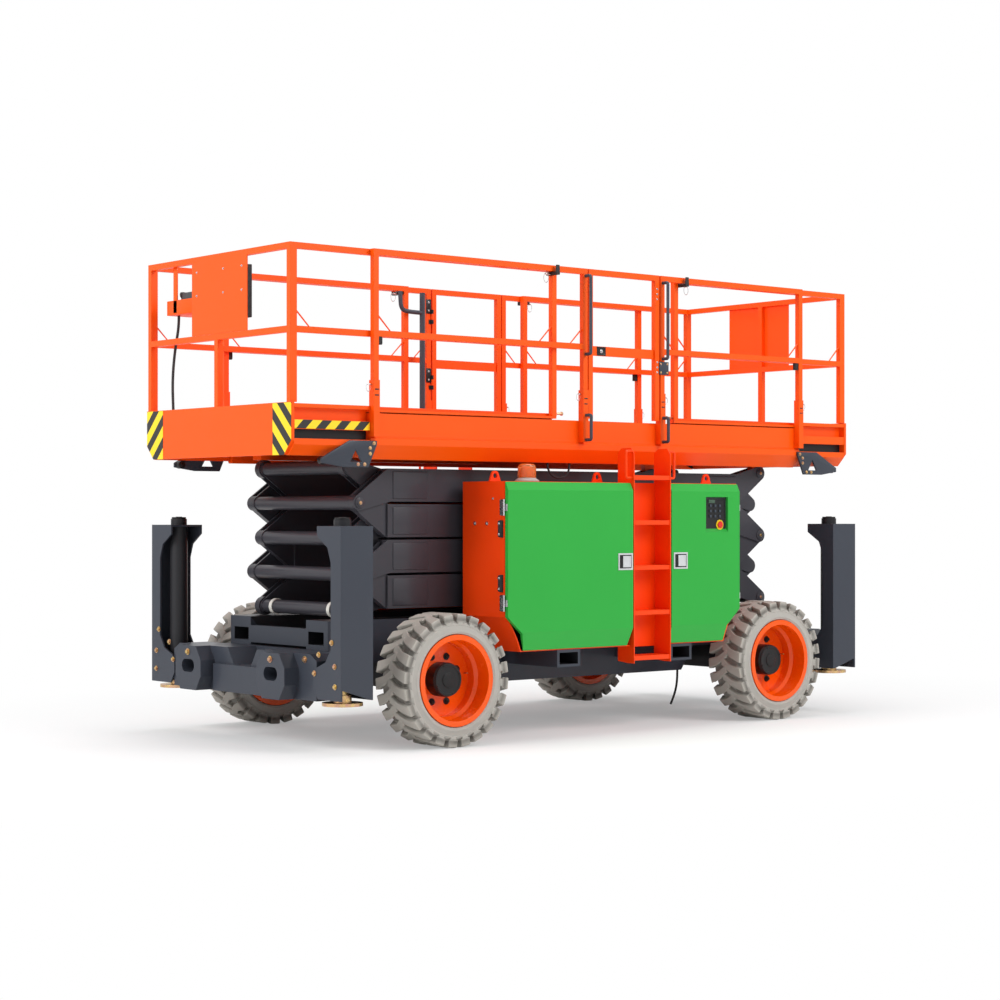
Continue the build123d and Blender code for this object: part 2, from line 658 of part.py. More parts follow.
# Gates, which open inwards
gate_low_z = 2100.0
gate_span = (gate_left + 10, gate_right - 14)
for name, side, hinge_at in (("gate_near", -1, gate_right - 6), ("gate_far", 1, gate_left + 6)):
    span = gate_span if side < 0 else (gate_left + 14, gate_right - 10)
    gate_y = (side * rail_y[0], side * rail_y[1])
    hinge_edge = span[1] if side < 0 else span[0]
    with BuildPart() as gate:
        block(span, gate_y, rail_z)
        block(span, (side * (rail_y[0] + 10), side * (rail_y[1] - 16)), (2525, 2590))
        block((span[0], span[0] + tube), gate_y, (gate_low_z, rail_top_z))
        block((span[1] - tube, span[1]), gate_y, (gate_low_z, rail_top_z))
        for z in gate_hinge_z:
            span_z = (z - knuckle_half + hinge_play, z + knuckle_half - hinge_play)
            post(hinge_at, side * gate_hinge_y, 9, span_z)
            block((hinge_at, hinge_edge + side * 20), (side * (gate_hinge_y + 6), side * (rail_y[0] + 4)), span_z)
    gate.part.label = name
    export_step(gate.part, "parts/" + name + ".step")

# Extension decks and their rails
toe_y = skirt_in_y - 6
toe_top_z = 2137.0
slide_gap = 6.0
slider_top_z = skirt_top_z + 24
post_y = (extension_rail_y - tube, extension_rail_y)
for name, end, inner_x, main_end in (
    ("left", -1, left_extension_end, main_deck_left),
    ("right", 1, right_extension_end, main_deck_right),
):
    tip = end * half_platform
    near_tip = tip - end * 20
    shoulder = main_end + end * 6
    end_outline = [(-850, toe_top_z), (850, toe_top_z), (850, 1905), (770, 1818), (-770, 1818), (-850, 1905)]
    beam = [(toe_y - 24, 1815), (toe_y - 24, toe_top_z - 8), (846, toe_top_z - 8), (846, toe_top_z - 32),
            (toe_y + 14, toe_top_z - 32), (toe_y + 14, 2032), (846, 2032), (846, 1975), (toe_y + 14, 1975),
            (toe_y + 14, 1917), (846, 1917), (846, 1880), (toe_y, 1815)]
    with BuildPart() as extension_deck:
        end_plate(end_outline, (near_tip, tip))
        for side in (-1, 1):
            end_plate([(side * y, z) for y, z in beam], (shoulder, near_tip))
            block((inner_x, near_tip), (side * (toe_y - 24), side * toe_y),
                  (floor_z + slide_gap, toe_top_z - 8))
            block((inner_x, shoulder), (side * (toe_y - 24), side * (extension_rail_y - 2)),
                  (skirt_top_z + 8, slider_top_z))
        block((inner_x, near_tip), (-toe_y + 24, toe_y - 24), (floor_z + slide_gap, floor_z + slide_gap + 12))
    extension_deck.part.label = "extension_deck_" + name
    export_step(extension_deck.part, "parts/extension_deck_" + name + ".step")

    with BuildPart() as extension_rails:
        for z_span in (rail_z, mid_z):
            block((tip, tip - end * tube), (-extension_rail_y, extension_rail_y), z_span)
            for side in (-1, 1):
                block((tip, inner_x), tuple(side * y for y in post_y), z_span)
        for side in (-1, 1):
            rail_post = tuple(side * y for y in post_y)
            block((tip, tip - end * 50), rail_post, (toe_top_z, rail_top_z))
            block((inner_x, inner_x + end * tube), rail_post, (slider_top_z, rail_top_z))
        block((tip, tip - end * tube), (-20, 20), (toe_top_z, rail_top_z))
        sign = (-359, 287) if end < 0 else (-271, 361)
        block((tip, tip - end * 6), sign, (2600, rail_top_z - 30))
    extension_rails.part.label = "extension_rails_" + name
    export_step(extension_rails.part, "parts/extension_rails_" + name + ".step")

# Control box on the left extension
with BuildPart() as control_box:
    block((-half_platform + tube, -half_platform + 230), (330, 640), (2790, 2960))
    block((-half_platform + 10, -half_platform + 60), (360, 610), (mid_z[1], 2990))
    post(-half_platform + 150, 540, 12, (2960, 3040))
    block((-half_platform + 10, -half_platform + 70), (-340, -60), (mid_z[1], rail_z[0]))
control_box.part.label = "control_box"
export_step(control_box.part, "parts/control_box.step")
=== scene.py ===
# %% [markdown] # A scissor lift, dressed This lesson dresses a scissor lift: a railed platform on a stack of
# crossed arms, with four wheels and four outriggers. Its solids come packed from the CAD step, in metres and in
# place.

# %% Load the frame
from math import cos, hypot, pi, radians, sin, sqrt, tau

import bpy
from mathutils import Matrix, Vector


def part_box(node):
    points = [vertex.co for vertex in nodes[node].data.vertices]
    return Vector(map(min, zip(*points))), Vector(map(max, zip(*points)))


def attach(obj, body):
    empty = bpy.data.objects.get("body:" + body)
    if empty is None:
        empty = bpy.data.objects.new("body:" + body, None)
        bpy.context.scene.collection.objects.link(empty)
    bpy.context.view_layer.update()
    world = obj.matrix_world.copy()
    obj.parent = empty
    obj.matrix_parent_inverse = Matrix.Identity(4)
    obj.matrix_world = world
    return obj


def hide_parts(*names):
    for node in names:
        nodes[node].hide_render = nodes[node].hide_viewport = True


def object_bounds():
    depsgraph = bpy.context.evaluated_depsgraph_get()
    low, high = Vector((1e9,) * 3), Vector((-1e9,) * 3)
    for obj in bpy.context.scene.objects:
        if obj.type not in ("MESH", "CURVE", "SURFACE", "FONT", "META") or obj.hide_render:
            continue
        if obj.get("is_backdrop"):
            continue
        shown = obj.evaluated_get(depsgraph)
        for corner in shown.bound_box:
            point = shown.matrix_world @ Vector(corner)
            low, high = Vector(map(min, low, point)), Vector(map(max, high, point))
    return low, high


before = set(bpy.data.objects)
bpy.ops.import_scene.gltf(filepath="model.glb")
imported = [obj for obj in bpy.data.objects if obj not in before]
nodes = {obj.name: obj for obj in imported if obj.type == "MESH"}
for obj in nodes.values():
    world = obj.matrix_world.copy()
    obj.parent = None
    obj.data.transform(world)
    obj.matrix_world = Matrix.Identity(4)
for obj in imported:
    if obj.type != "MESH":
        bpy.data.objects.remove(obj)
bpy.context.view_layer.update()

# %% [markdown]
# ## Camera
# The photograph was taken with a long lens from about chest height, level with the ground. A camera could be
# tilted until the machine sits in the middle, but then the posts would lean. A level camera with a small upward
# shift keeps every post upright.

# %% Camera
camera_place = (-9.897, -11.756, 1.465)
camera_turn = radians(-39.62)
bpy.ops.object.camera_add(location=camera_place, rotation=(pi / 2, 0, camera_turn))
camera = bpy.context.object
camera.data.sensor_width = 36.0
camera.data.lens = 78.31
camera.data.shift_y = 0.0129
bpy.context.scene.camera = camera
print("camera lens", round(camera.data.lens, 2), "mm at", camera_place)

# %% [markdown]
# ## Surround
# The machine stands before pure white. A stronger surround would whiten the background too, but it would bleach
# the paint. So it has two strengths: white for what the camera, gloss and glass see, and a plain, slightly cool
# fill for the light that falls on the paint. A Light Path node tells the two apart.

# %% Surround
scene = bpy.context.scene
scene.view_settings.view_transform = "Standard"
world = bpy.data.worlds.new("studio")
scene.world = world
world.use_nodes = True
world_nodes, world_links = world.node_tree.nodes, world.node_tree.links
seen_white = world_nodes["Background"]
seen_white.inputs["Color"].default_value = (1, 1, 1, 1)
soft_fill = world_nodes.new("ShaderNodeBackground")
soft_fill.inputs["Color"].default_value = (0.96, 0.98, 1.0, 1)
soft_fill.inputs["Strength"].default_value = 0.52
rays = world_nodes.new("ShaderNodeLightPath")
either = world_nodes.new("ShaderNodeMath")
either.operation = "MAXIMUM"
any_seen = world_nodes.new("ShaderNodeMath")
any_seen.operation = "MAXIMUM"
world_choice = world_nodes.new("ShaderNodeMixShader")
world_links.new(rays.outputs["Is Camera Ray"], either.inputs[0])
world_links.new(rays.outputs["Is Glossy Ray"], either.inputs[1])
world_links.new(either.outputs[0], any_seen.inputs[0])
world_links.new(rays.outputs["Is Transmission Ray"], any_seen.inputs[1])
world_links.new(any_seen.outputs[0], world_choice.inputs["Fac"])
world_links.new(soft_fill.outputs[0], world_choice.inputs[1])
world_links.new(seen_white.outputs[0], world_choice.inputs[2])
world_links.new(world_choice.outputs[0], world_nodes["World Output"].inputs["Surface"])
print("fill strength", round(soft_fill.inputs["Strength"].default_value, 2))

# %% [markdown]
# ## Lamps
# The light on the machine is soft, mostly from the front and above. A sun lamp would cast hard shadows, so
# three large square lamps do it: one in front, a weaker one on the left and one overhead. Each is aimed by
# turning its own -Z towards a point on the machine.

# %% Lamps


def soft_lamp(name, place, aim, size, watts):
    # Hangs a square lamp and turns it towards a point on the machine
    bpy.ops.object.light_add(type="AREA", location=place)
    lamp = bpy.context.object
    lamp.name = name
    lamp.data.size = size
    lamp.data.energy = watts
    lamp.rotation_euler = (Vector(aim) - Vector(place)).to_track_quat("-Z", "Y").to_euler()


soft_lamp("front_lamp", (3.5, -12.0, 9.0), (0, -0.8, 1.4), 6.0, 1000)
soft_lamp("left_lamp", (-12.0, 1.0, 6.0), (-1.5, 0, 1.4), 5.0, 720)
soft_lamp("top_lamp", (0.5, 0.5, 11.0), (0, 0, 0), 7.0, 560)

# %% [markdown]
# ## Floor
# The floor only has to carry the shadow, and away from the machine it should melt into the white. A shadow
# catcher would need a compositor. So the floor mixes its own shading with plain white, whose share grows with
# the distance from the middle, and only for what the camera sees.

# %% Floor
bpy.ops.mesh.primitive_plane_add(size=90)
floor = bpy.context.object
floor.name = "floor"
floor_finish = bpy.data.materials.new("studio_floor")
floor_finish.use_nodes = True
floor_nodes, floor_links = floor_finish.node_tree.nodes, floor_finish.node_tree.links
floor_surface = floor_nodes["Principled BSDF"]
floor_surface.inputs["Base Color"].default_value = (0.86, 0.86, 0.86, 1)
floor_surface.inputs["Roughness"].default_value = 0.9
floor_surface.inputs["Specular IOR Level"].default_value = 0.1
floor_rays = floor_nodes.new("ShaderNodeLightPath")
floor_place = floor_nodes.new("ShaderNodeTexCoord")
floor_shape = floor_nodes.new("ShaderNodeMapping")
floor_shape.inputs["Scale"].default_value = (0.75, 1.0, 1.0)
floor_reach = floor_nodes.new("ShaderNodeVectorMath")
floor_reach.operation = "LENGTH"
floor_fade = floor_nodes.new("ShaderNodeMapRange")
floor_fade.interpolation_type = "SMOOTHSTEP"
for socket, value in (("From Min", 1.2), ("From Max", 4.6), ("To Min", 0.30), ("To Max", 1.0)):
    floor_fade.inputs[socket].default_value = value
floor_seen = floor_nodes.new("ShaderNodeMath")
floor_seen.operation = "MULTIPLY"
floor_white = floor_nodes.new("ShaderNodeEmission")
floor_pick = floor_nodes.new("ShaderNodeMixShader")
floor_links.new(floor_place.outputs["Object"], floor_shape.inputs["Vector"])
floor_links.new(floor_shape.outputs["Vector"], floor_reach.inputs[0])
floor_links.new(floor_reach.outputs["Value"], floor_fade.inputs["Value"])
floor_links.new(floor_fade.outputs["Result"], floor_seen.inputs[0])
floor_links.new(floor_rays.outputs["Is Camera Ray"], floor_seen.inputs[1])
floor_links.new(floor_seen.outputs[0], floor_pick.inputs["Fac"])
floor_links.new(floor_surface.outputs[0], floor_pick.inputs[1])
floor_links.new(floor_white.outputs[0], floor_pick.inputs[2])
floor_links.new(floor_pick.outputs[0], floor_nodes["Material Output"].inputs["Surface"])
floor.data.materials.append(floor_finish)
floor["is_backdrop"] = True
print("floor", [round(v) for v in floor.dimensions])

# %% [markdown]
# ## Colours
# A colour as it looks on a screen is not the number that light works with, because the screen's scale is bent.
# Straight numbers could be typed, but screen values are easier to judge. So one function turns them
# straight, and another makes a lighter or darker neighbour.

# %% Colours


def srgb(red, green, blue):
    # Turns a colour as it looks on a screen into the numbers that light works with
    def straight(value):
        share = value / 255
        return share / 12.92 if share <= 0.04045 else ((share + 0.055) / 1.055) ** 2.4

    return (straight(red), straight(green), straight(blue), 1)


def scaled(colour, factor):
    # Makes a colour lighter or darker
    return tuple(min(1.0, channel * factor) for channel in colour[:3]) + (1,)


print("middle grey", round(srgb(128, 128, 128)[0], 3))

# %% [markdown]
# ## A builder for finishes
# Every finish here needs the same few nodes: noise on Object coordinates, a range, a mix, a bump. They could be
# wired by hand for each material, but that buries the idea under links. A small class holds the wiring, so a
# finish reads as a recipe. Its bevel node rounds each sheet edge for the light, and where the rounded normal
# leaves the plain one there is an edge, which tells the paint where it is thin.

# %% Finish builder


class Finish:
    # One material with the few nodes that every finish here needs

    def __init__(self, name):
        self.material = bpy.data.materials.new(name)
        self.material.use_nodes = True
        self.nodes = self.material.node_tree.nodes
        self.links = self.material.node_tree.links
        self.surface = self.nodes["Principled BSDF"]
        self.place = self.nodes.new("ShaderNodeTexCoord").outputs["Object"]

    def set(self, **values):
        # Sets values that are the same all over the surface
        for socket, value in values.items():
            self.surface.inputs[socket.replace("_", " ")].default_value = value

    def feed(self, socket, value):
        # Feeds a value that varies over the surface
        self.links.new(value, self.surface.inputs[socket])

    def axes(self):
        # Splits the place into X, Y and Z
        split = self.nodes.new("ShaderNodeSeparateXYZ")
        self.links.new(self.place, split.inputs[0])
        return [split.outputs[axis] for axis in "XYZ"]

    def noise(self, scale, detail=3.0, stretch=None):
        texture = self.nodes.new("ShaderNodeTexNoise")
        texture.inputs["Scale"].default_value = scale
        texture.inputs["Detail"].default_value = detail
        vector = self.place
        if stretch:
            mapping = self.nodes.new("ShaderNodeMapping")
            mapping.inputs["Scale"].default_value = stretch
            self.links.new(self.place, mapping.inputs["Vector"])
            vector = mapping.outputs["Vector"]
        self.links.new(vector, texture.inputs["Vector"])
        return texture.outputs["Fac"]

    def range(self, value, low, high, to_low, to_high):
        node = self.nodes.new("ShaderNodeMapRange")
        self.links.new(value, node.inputs["Value"])
        for socket, number in zip(("From Min", "From Max", "To Min", "To Max"), (low, high, to_low, to_high)):
            node.inputs[socket].default_value = number
        return node.outputs["Result"]

    def math(self, operation, first, second=0):
        node = self.nodes.new("ShaderNodeMath")
        node.operation = operation
        for socket, value in zip(node.inputs, (first, second)):
            if isinstance(value, (int, float)):
                socket.default_value = value
            else:
                self.links.new(value, socket)
        return node.outputs[0]

    def mix(self, share, first, second):
        node = self.nodes.new("ShaderNodeMix")
        node.data_type = "RGBA"
        self.links.new(share, node.inputs["Factor"])
        for socket, value in zip((node.inputs[6], node.inputs[7]), (first, second)):
            if isinstance(value, tuple):
                socket.default_value = value
            else:
                self.links.new(value, socket)
        return node.outputs[2]

    def edges(self, radius):
        # Gives the rounded normal and a mask that is 1 along edges
        rounded = self.nodes.new("ShaderNodeBevel")
        rounded.samples = 4
        rounded.inputs["Radius"].default_value = radius
        plain = self.nodes.new("ShaderNodeNewGeometry")
        compare = self.nodes.new("ShaderNodeVectorMath")
        compare.operation = "DOT_PRODUCT"
        self.links.new(rounded.outputs["Normal"], compare.inputs[0])
        self.links.new(plain.outputs["Normal"], compare.inputs[1])
        return rounded.outputs["Normal"], self.range(compare.outputs["Value"], 0.94, 0.999, 1.0, 0.0)

    def bump(self, height, strength, distance, normal):
        # Adds fine relief on top of the rounded edges
        node = self.nodes.new("ShaderNodeBump")
        node.inputs["Strength"].default_value = strength
        node.inputs["Distance"].default_value = distance
        self.links.new(height, node.inputs["Height"])
        self.links.new(normal, node.inputs["Normal"])
        self.feed("Normal", node.outputs["Normal"])


print("finish recipes", [name for name in vars(Finish) if not name.startswith("_")])

# %% [markdown]
# ### Sprayed paint
# Nearly every sheet and tube of the machine is sprayed enamel: almost one colour, with faint clouds, a fine
# orange-peel surface, and edges where the coat is thin. One flat colour would look like plastic, and a
# worn-metal mask would look old, so clouds and edge flecks stay just visible. The rails and the platform are a
# warm orange, the hoods and ladders a redder one, and the doors green. The outriggers are blue-grey, the
# scissor arms dark grey and the frame nearly black.

# %% Paints


def sprayed_paint(name, colour, roughness=0.40, coat=0.08, edge_radius=0.0025):
    # Sprayed enamel: faint clouds, thin edges, fine orange peel
    clouds = 0.035
    finish = Finish(name)
    normal, edge = finish.edges(edge_radius)
    cloud = finish.noise(2.2, 5.0)
    body = finish.mix(cloud, scaled(colour, 1 - clouds), scaled(colour, 1 + clouds))
    fleck = finish.range(finish.noise(55.0, 4.0), 0.45, 0.75, 0.0, 0.5)
    thin = finish.math("MULTIPLY", edge, fleck)
    finish.feed("Base Color", finish.mix(thin, body, scaled(colour, 1.45)))
    finish.feed("Roughness", finish.range(finish.noise(9.0, 4.0), 0.3, 0.7, roughness - 0.02, roughness + 0.03))
    finish.bump(finish.noise(420.0, 2.0), 0.025, 0.0004, normal)
    finish.set(Coat_Weight=coat, Coat_Roughness=0.12, Specular_IOR_Level=0.22)
    return finish.material


platform_orange = sprayed_paint("platform_orange", srgb(246, 86, 0))
hood_orange = sprayed_paint("hood_orange", srgb(244, 66, 0))
door_green = sprayed_paint("door_green", srgb(45, 165, 62), roughness=0.30)
outrigger_grey = sprayed_paint("outrigger_grey", srgb(58, 62, 71), roughness=0.40, coat=0.1)
arm_black = sprayed_paint("arm_black", srgb(62, 61, 67), roughness=0.36, coat=0.15)
frame_black = sprayed_paint("frame_black", srgb(38, 38, 41), roughness=0.42, coat=0.05)
handle_grey = sprayed_paint("handle_grey", srgb(62, 68, 78), roughness=0.42, coat=0.05)
rim_orange = sprayed_paint("rim_orange", srgb(250, 88, 0), roughness=0.26, coat=0.3, edge_radius=0.002)
hub_black = sprayed_paint("hub_black", srgb(30, 30, 31), roughness=0.38, coat=0.05)
print("materials so far", len(bpy.data.materials))

# %% [markdown]
# ### Bare metal
# The feet and most bolts are yellow zinc, which shifts between straw and pink. Hinges and screws are bright
# steel, and the lift rods are ground chrome. A single metal colour would look like foil. Two tones in patches
# and a grain that scatters the gloss, stretched along the chrome's grinding, are enough at this distance.

# %% Bare metal


def plain_metal(name, first, second, roughness, grain=(1, 1, 1)):
    # Bare metal: two tones in patches, and a grain that scatters the gloss
    finish = Finish(name)
    normal = finish.edges(0.0015)[0]
    patch = finish.range(finish.noise(26.0, 4.0), 0.3, 0.7, 0.0, 1.0)
    finish.feed("Base Color", finish.mix(patch, first, second))
    streak = finish.noise(60.0, 3.0, grain)
    finish.feed("Roughness", finish.range(streak, 0.3, 0.7, roughness - 0.07, roughness + 0.09))
    finish.bump(streak, 0.05, 0.0004, normal)
    finish.set(Metallic=1.0)
    return finish.material


zinc_yellow = plain_metal("zinc_yellow", srgb(214, 186, 118), srgb(196, 150, 132), 0.30)
steel_bright = plain_metal("steel_bright", srgb(205, 206, 208), srgb(186, 188, 190), 0.24)
chrome_rod = plain_metal("chrome_rod", srgb(222, 223, 226), srgb(210, 211, 214), 0.12, (1, 12, 12))
print("materials so far", len(bpy.data.materials))

# %% [markdown]
# ### Rubber, plastic and cast alloy
# Cables, buffers, keys and latch frames are matt. They are rubber, moulded plastic or castings, and differ in
# colour and gloss but share a fine grain and a little dust. Each could have its own nodes, but one recipe that
# takes the colour, the roughness and the dust keeps them alike.

# %% Rubber and plastic


def soft_rubber(name, colour, roughness=0.75, speckle=0.15):
    # Rubber or matt plastic: fine grain with a little dust
    finish = Finish(name)
    normal = finish.edges(0.002)[0]
    dust = finish.noise(14.0, 6.0)
    finish.feed("Base Color", finish.mix(dust, scaled(colour, 1 - speckle), scaled(colour, 1 + speckle)))
    finish.feed("Roughness", finish.range(finish.noise(80.0), 0.3, 0.7, roughness - 0.08, roughness + 0.08))
    finish.bump(finish.noise(700.0, 2.0), 0.15, 0.0005, normal)
    return finish.material


black_rubber = soft_rubber("black_rubber", srgb(30, 30, 32))
grey_plastic = soft_rubber("grey_plastic", srgb(52, 54, 58), roughness=0.5)
nylon_white = soft_rubber("nylon_white", srgb(222, 220, 212), roughness=0.45, speckle=0.05)
cast_alloy = soft_rubber("cast_alloy", srgb(198, 200, 202), roughness=0.36, speckle=0.04)
stop_red = soft_rubber("stop_red", srgb(214, 28, 24), roughness=0.32, speckle=0.04)
stop_yellow = soft_rubber("stop_yellow", srgb(246, 206, 20), roughness=0.4, speckle=0.04)
print("materials so far", len(bpy.data.materials))

# %% [markdown]
# ### Tyre rubber
# The tyres are grey non-marking rubber with pale scuffed tops, and the grooves between the lugs are darkened
# with painted shade. Two materials on different faces would give a hard border. So the rubber measures its
# distance from the axle, and the painted groove shade lies between two radii and blends into wall and top. All
# four wheels stand equally far from the middle, so one material serves them all.

# %% Tyre rubber
rear_low, rear_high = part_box("tyre_rear_left")
half_base = (rear_low[0] + rear_high[0]) / 2
axle_z = (rear_low[2] + rear_high[2]) / 2


def tyre_rubber(name, painted_groove_shade, wall, top):
    # Grey rubber with painted shade in the grooves, and pale on the lugs' tops
    finish = Finish(name)
    normal, edge = finish.edges(0.004)
    x, _, z = finish.axes()
    across = finish.math("SUBTRACT", finish.math("ABSOLUTE", x), half_base)
    above = finish.math("SUBTRACT", z, axle_z)
    squares = finish.math("ADD", finish.math("MULTIPLY", across, across), finish.math("MULTIPLY", above, above))
    radius = finish.math("SQRT", squares)
    # Below the lug root the wall keeps its colour. The tread between the lugs gets the painted groove shade, which
    # blends into the top colour up the lugs.
    outer = finish.range(radius, 0.386, 0.412, 0.0, 1.0)
    inner = finish.range(radius, 0.362, 0.378, 0.0, 1.0)
    sides = finish.mix(inner, wall, painted_groove_shade)
    body = finish.mix(outer, sides, top)
    dust = finish.range(finish.noise(11.0, 6.0), 0.3, 0.72, 0.0, 0.5)
    dusty = finish.mix(dust, body, scaled(wall, 1.12))
    scuffed = finish.mix(finish.math("MULTIPLY", edge, 0.55), dusty, scaled(top, 1.25))
    finish.feed("Base Color", scuffed)
    finish.feed("Roughness", finish.range(finish.noise(60.0), 0.3, 0.7, 0.7, 0.9))
    finish.bump(finish.noise(340.0, 3.0), 0.22, 0.001, normal)
    return finish.material


grey_tyre = tyre_rubber("grey_tyre", srgb(100, 96, 90), srgb(172, 168, 161), srgb(174, 169, 160))
print("axle at", round(half_base, 3), round(axle_z, 3))

# %% [markdown]
# ### Hazard stripes
# Yellow and black bands mark the ends of the extensions. They could be single strips of mesh, but a pattern
# stays sharp on one plate. It adds the distances from the middle along X and Y to the height and cuts the sum
# into bands, which makes the stripes lean outwards on all four corners.

# %% Hazard stripes


def hazard_stripes(name, period):
    # Yellow and black bands that lean outwards on every side
    finish = Finish(name)
    x, y, z = finish.axes()
    lengths = [finish.math("ABSOLUTE", axis) for axis in (x, y)]
    ramp = finish.math("ADD", finish.math("ADD", *lengths), z)
    share = finish.math("FRACT", finish.math("DIVIDE", ramp, period))
    black = finish.math("GREATER_THAN", share, 0.5)
    worn = finish.range(finish.noise(40.0, 5.0), 0.35, 0.7, 0.85, 1.08)
    finish.feed("Base Color", finish.mix(black, srgb(250, 214, 22), srgb(26, 25, 24)))
    finish.feed("Roughness", finish.math("MULTIPLY", worn, 0.4))
    return finish.material


corner_stripes = hazard_stripes("corner_stripes", 0.146)
bar_stripes = hazard_stripes("bar_stripes", 0.143)
print("materials so far", len(bpy.data.materials))

# %% [markdown]
# ### Deck plate
# The platform's floor is painted chequer plate, with short raised bars that cross each other. Modelled bars
# would cost far more faces than they are worth, since the camera never sees the floor from near. Two turned
# checker textures give their height to a bump instead.

# %% Deck plate


def tread_plate(name, colour):
    # Painted chequer plate: short raised bars that cross each other
    finish = Finish(name)
    normal = finish.edges(0.002)[0]
    rows = []
    for turn in (radians(45), radians(-45)):
        mapping = finish.nodes.new("ShaderNodeMapping")
        mapping.inputs["Rotation"].default_value = (0, 0, turn)
        mapping.inputs["Scale"].default_value = (16, 42, 1)
        finish.links.new(finish.place, mapping.inputs["Vector"])
        cells = finish.nodes.new("ShaderNodeTexChecker")
        cells.inputs["Scale"].default_value = 1.0
        finish.links.new(mapping.outputs["Vector"], cells.inputs["Vector"])
        rows.append(cells.outputs["Fac"])
    cloud = finish.noise(5.0, 5.0)
    finish.feed("Base Color", finish.mix(cloud, scaled(colour, 0.9), scaled(colour, 1.08)))
    finish.feed("Roughness", finish.range(cloud, 0.3, 0.7, 0.35, 0.5))
    finish.bump(finish.math("MAXIMUM", *rows), 0.3, 0.003, normal)
    return finish.material


deck_plate = tread_plate("deck_plate", srgb(246, 86, 4))
print("materials so far", len(bpy.data.materials))

# %% [markdown]
# ### Lens plastic
# The beacon has an amber core under a clear amber cover on a grey base, and the ground panel a small dark
# display. All are smooth moulded plastic. They could all let light through, but that takes many samples, so
# only the cover does, and a solid core behind it looks the same from outside.

# %% Lens plastic


def lens(name, colour, roughness, through):
    # Moulded lens plastic, clear or solid
    finish = Finish(name)
    normal = finish.edges(0.001)[0]
    finish.feed("Base Color", finish.mix(finish.noise(20.0), scaled(colour, 0.94), scaled(colour, 1.05)))
    finish.feed("Roughness", finish.range(finish.noise(90.0), 0.3, 0.7, roughness, roughness + 0.06))
    finish.bump(finish.noise(120.0), 0.08, 0.0005, normal)
    finish.set(Transmission_Weight=through)
    return finish.material


amber_lens = lens("amber_lens", srgb(246, 112, 10), 0.22, 0.0)
amber_cover = lens("amber_cover", srgb(255, 176, 84), 0.10, 0.75)
beacon_grey = soft_rubber("beacon_grey", srgb(176, 176, 172), roughness=0.45)
display_glass = lens("display_glass", srgb(58, 84, 66), 0.10, 0.0)
print("materials in all", len(bpy.data.materials))

# %% [markdown]
# ## Dressing the solids
# Every solid from the frame keeps its shape and gets a finish. New meshes over the solids would only repeat
# them. The names start with the piece they belong to, so a finish is given by the start of a name.

# %% Dress the solids


def dress(finish, *names):
    # Gives whole solids one finish
    for name in names:
        nodes[name].data.materials.clear()
        nodes[name].data.materials.append(finish)


def named(*starts):
    # Lists the solids whose names start in one of these ways
    return [name for name in nodes if name.startswith(starts)]


dress(platform_orange, *named("main_", "extension_", "gate_"))
dress(hood_orange, "hoods", "ladders")
dress(door_green, *named("door_"))
dress(outrigger_grey, *named("outrigger_"))
dress(arm_black, *named("outer_arms", "inner_arms", "lift_barrel"))
dress(frame_black, *named("chassis_frame", "front_axle", "rear_axle", "knuckle_", "jack_tubes"))
dress(black_rubber, "battery_packs", *named("tyre_"))
dress(zinc_yellow, *named("jack_front", "jack_rear"))
dress(chrome_rod, *named("lift_rod"))
dress(grey_plastic, "ground_control", "control_box")
dress(amber_lens, "beacon")
dress(rim_orange, *named("wheel_"))
print("dressed", len(nodes))

# %% [markdown]
# ## Faces with another finish
# Some solids carry two finishes: a black hub in an orange rim, chequer plate on the decks, bright hinge barrels
# on the hoods, black paint as painted shade on the back faces of the decks' side slots, and grey ends on the black
# frame. The solids could be cut apart, but they have to stay whole, so their faces get a second material slot,
# chosen by place and direction.

# %% Dress single faces


def dress_faces(name, finish, chosen):
    # Gives the faces of a solid that pass a test another finish
    mesh = nodes[name].data
    mesh.materials.append(finish)
    index = len(mesh.materials) - 1
    for face in mesh.polygons:
        if chosen(face.center, face.normal):
            face.material_index = index


deck_lip = 0.085
floor_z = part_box("main_deck")[1][2] - deck_lip
for name in ("main_deck", "extension_deck_left", "extension_deck_right"):
    dress_faces(name, deck_plate, lambda spot, normal: normal.z > 0.99
                and floor_z - 0.001 < spot.z < floor_z + 0.03)
for name in named("wheel_"):
    hub_x = (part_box(name)[0][0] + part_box(name)[1][0]) / 2
    dress_faces(name, hub_black, lambda spot, normal: hypot(spot.x - hub_x, spot.z - axle_z) < 0.11
                and abs(spot.y) > 0.962)
for name in ("hoods", *named("door_")):
    dress_faces(name, steel_bright, lambda spot, normal: abs(spot.x) > 1.0505)
# The recessed back faces of the slots in the extension decks' sides get black paint: painted shade inside the
# slots.
for name in ("extension_deck_left", "extension_deck_right"):
    dress_faces(name, hub_black, lambda spot, normal: abs(normal.y) > 0.9
                and floor_z - 0.084 < spot.z < floor_z - 0.024 and abs(spot.y) < 0.845)
dress_faces("main_rails", hub_black, lambda spot, normal: -0.15 < spot.x < 0.575 and abs(spot.y) < 0.8395
            and spot.z > floor_z + 0.30)
dress_faces("chassis_frame", outrigger_grey, lambda spot, normal: spot.x < -1.88 or abs(spot.y) > 0.55)
print("deck floor at", round(floor_z, 3))

# %% [markdown]
# ## Starting shapes
# Nearly every new piece starts as a box or a drum. A mesh could be written down point by point, but a primitive
# is easier to read and is always closed. Each starts at its true size, with its scale applied, so later widths
# are in metres.

# %% Starting shapes


def let_go():
    # Deselects everything, because an operator acts on all that is selected
    bpy.ops.object.select_all(action="DESELECT")


def box_between(low, high):
    # Starts a piece as a box between two corners
    let_go()
    middle = [(a + b) / 2 for a, b in zip(low, high)]
    bpy.ops.mesh.primitive_cube_add(size=1, location=middle)
    piece = bpy.context.object
    piece.scale = [abs(b - a) for a, b in zip(low, high)]
    bpy.ops.object.transform_apply(location=True, rotation=True, scale=True)
    return piece


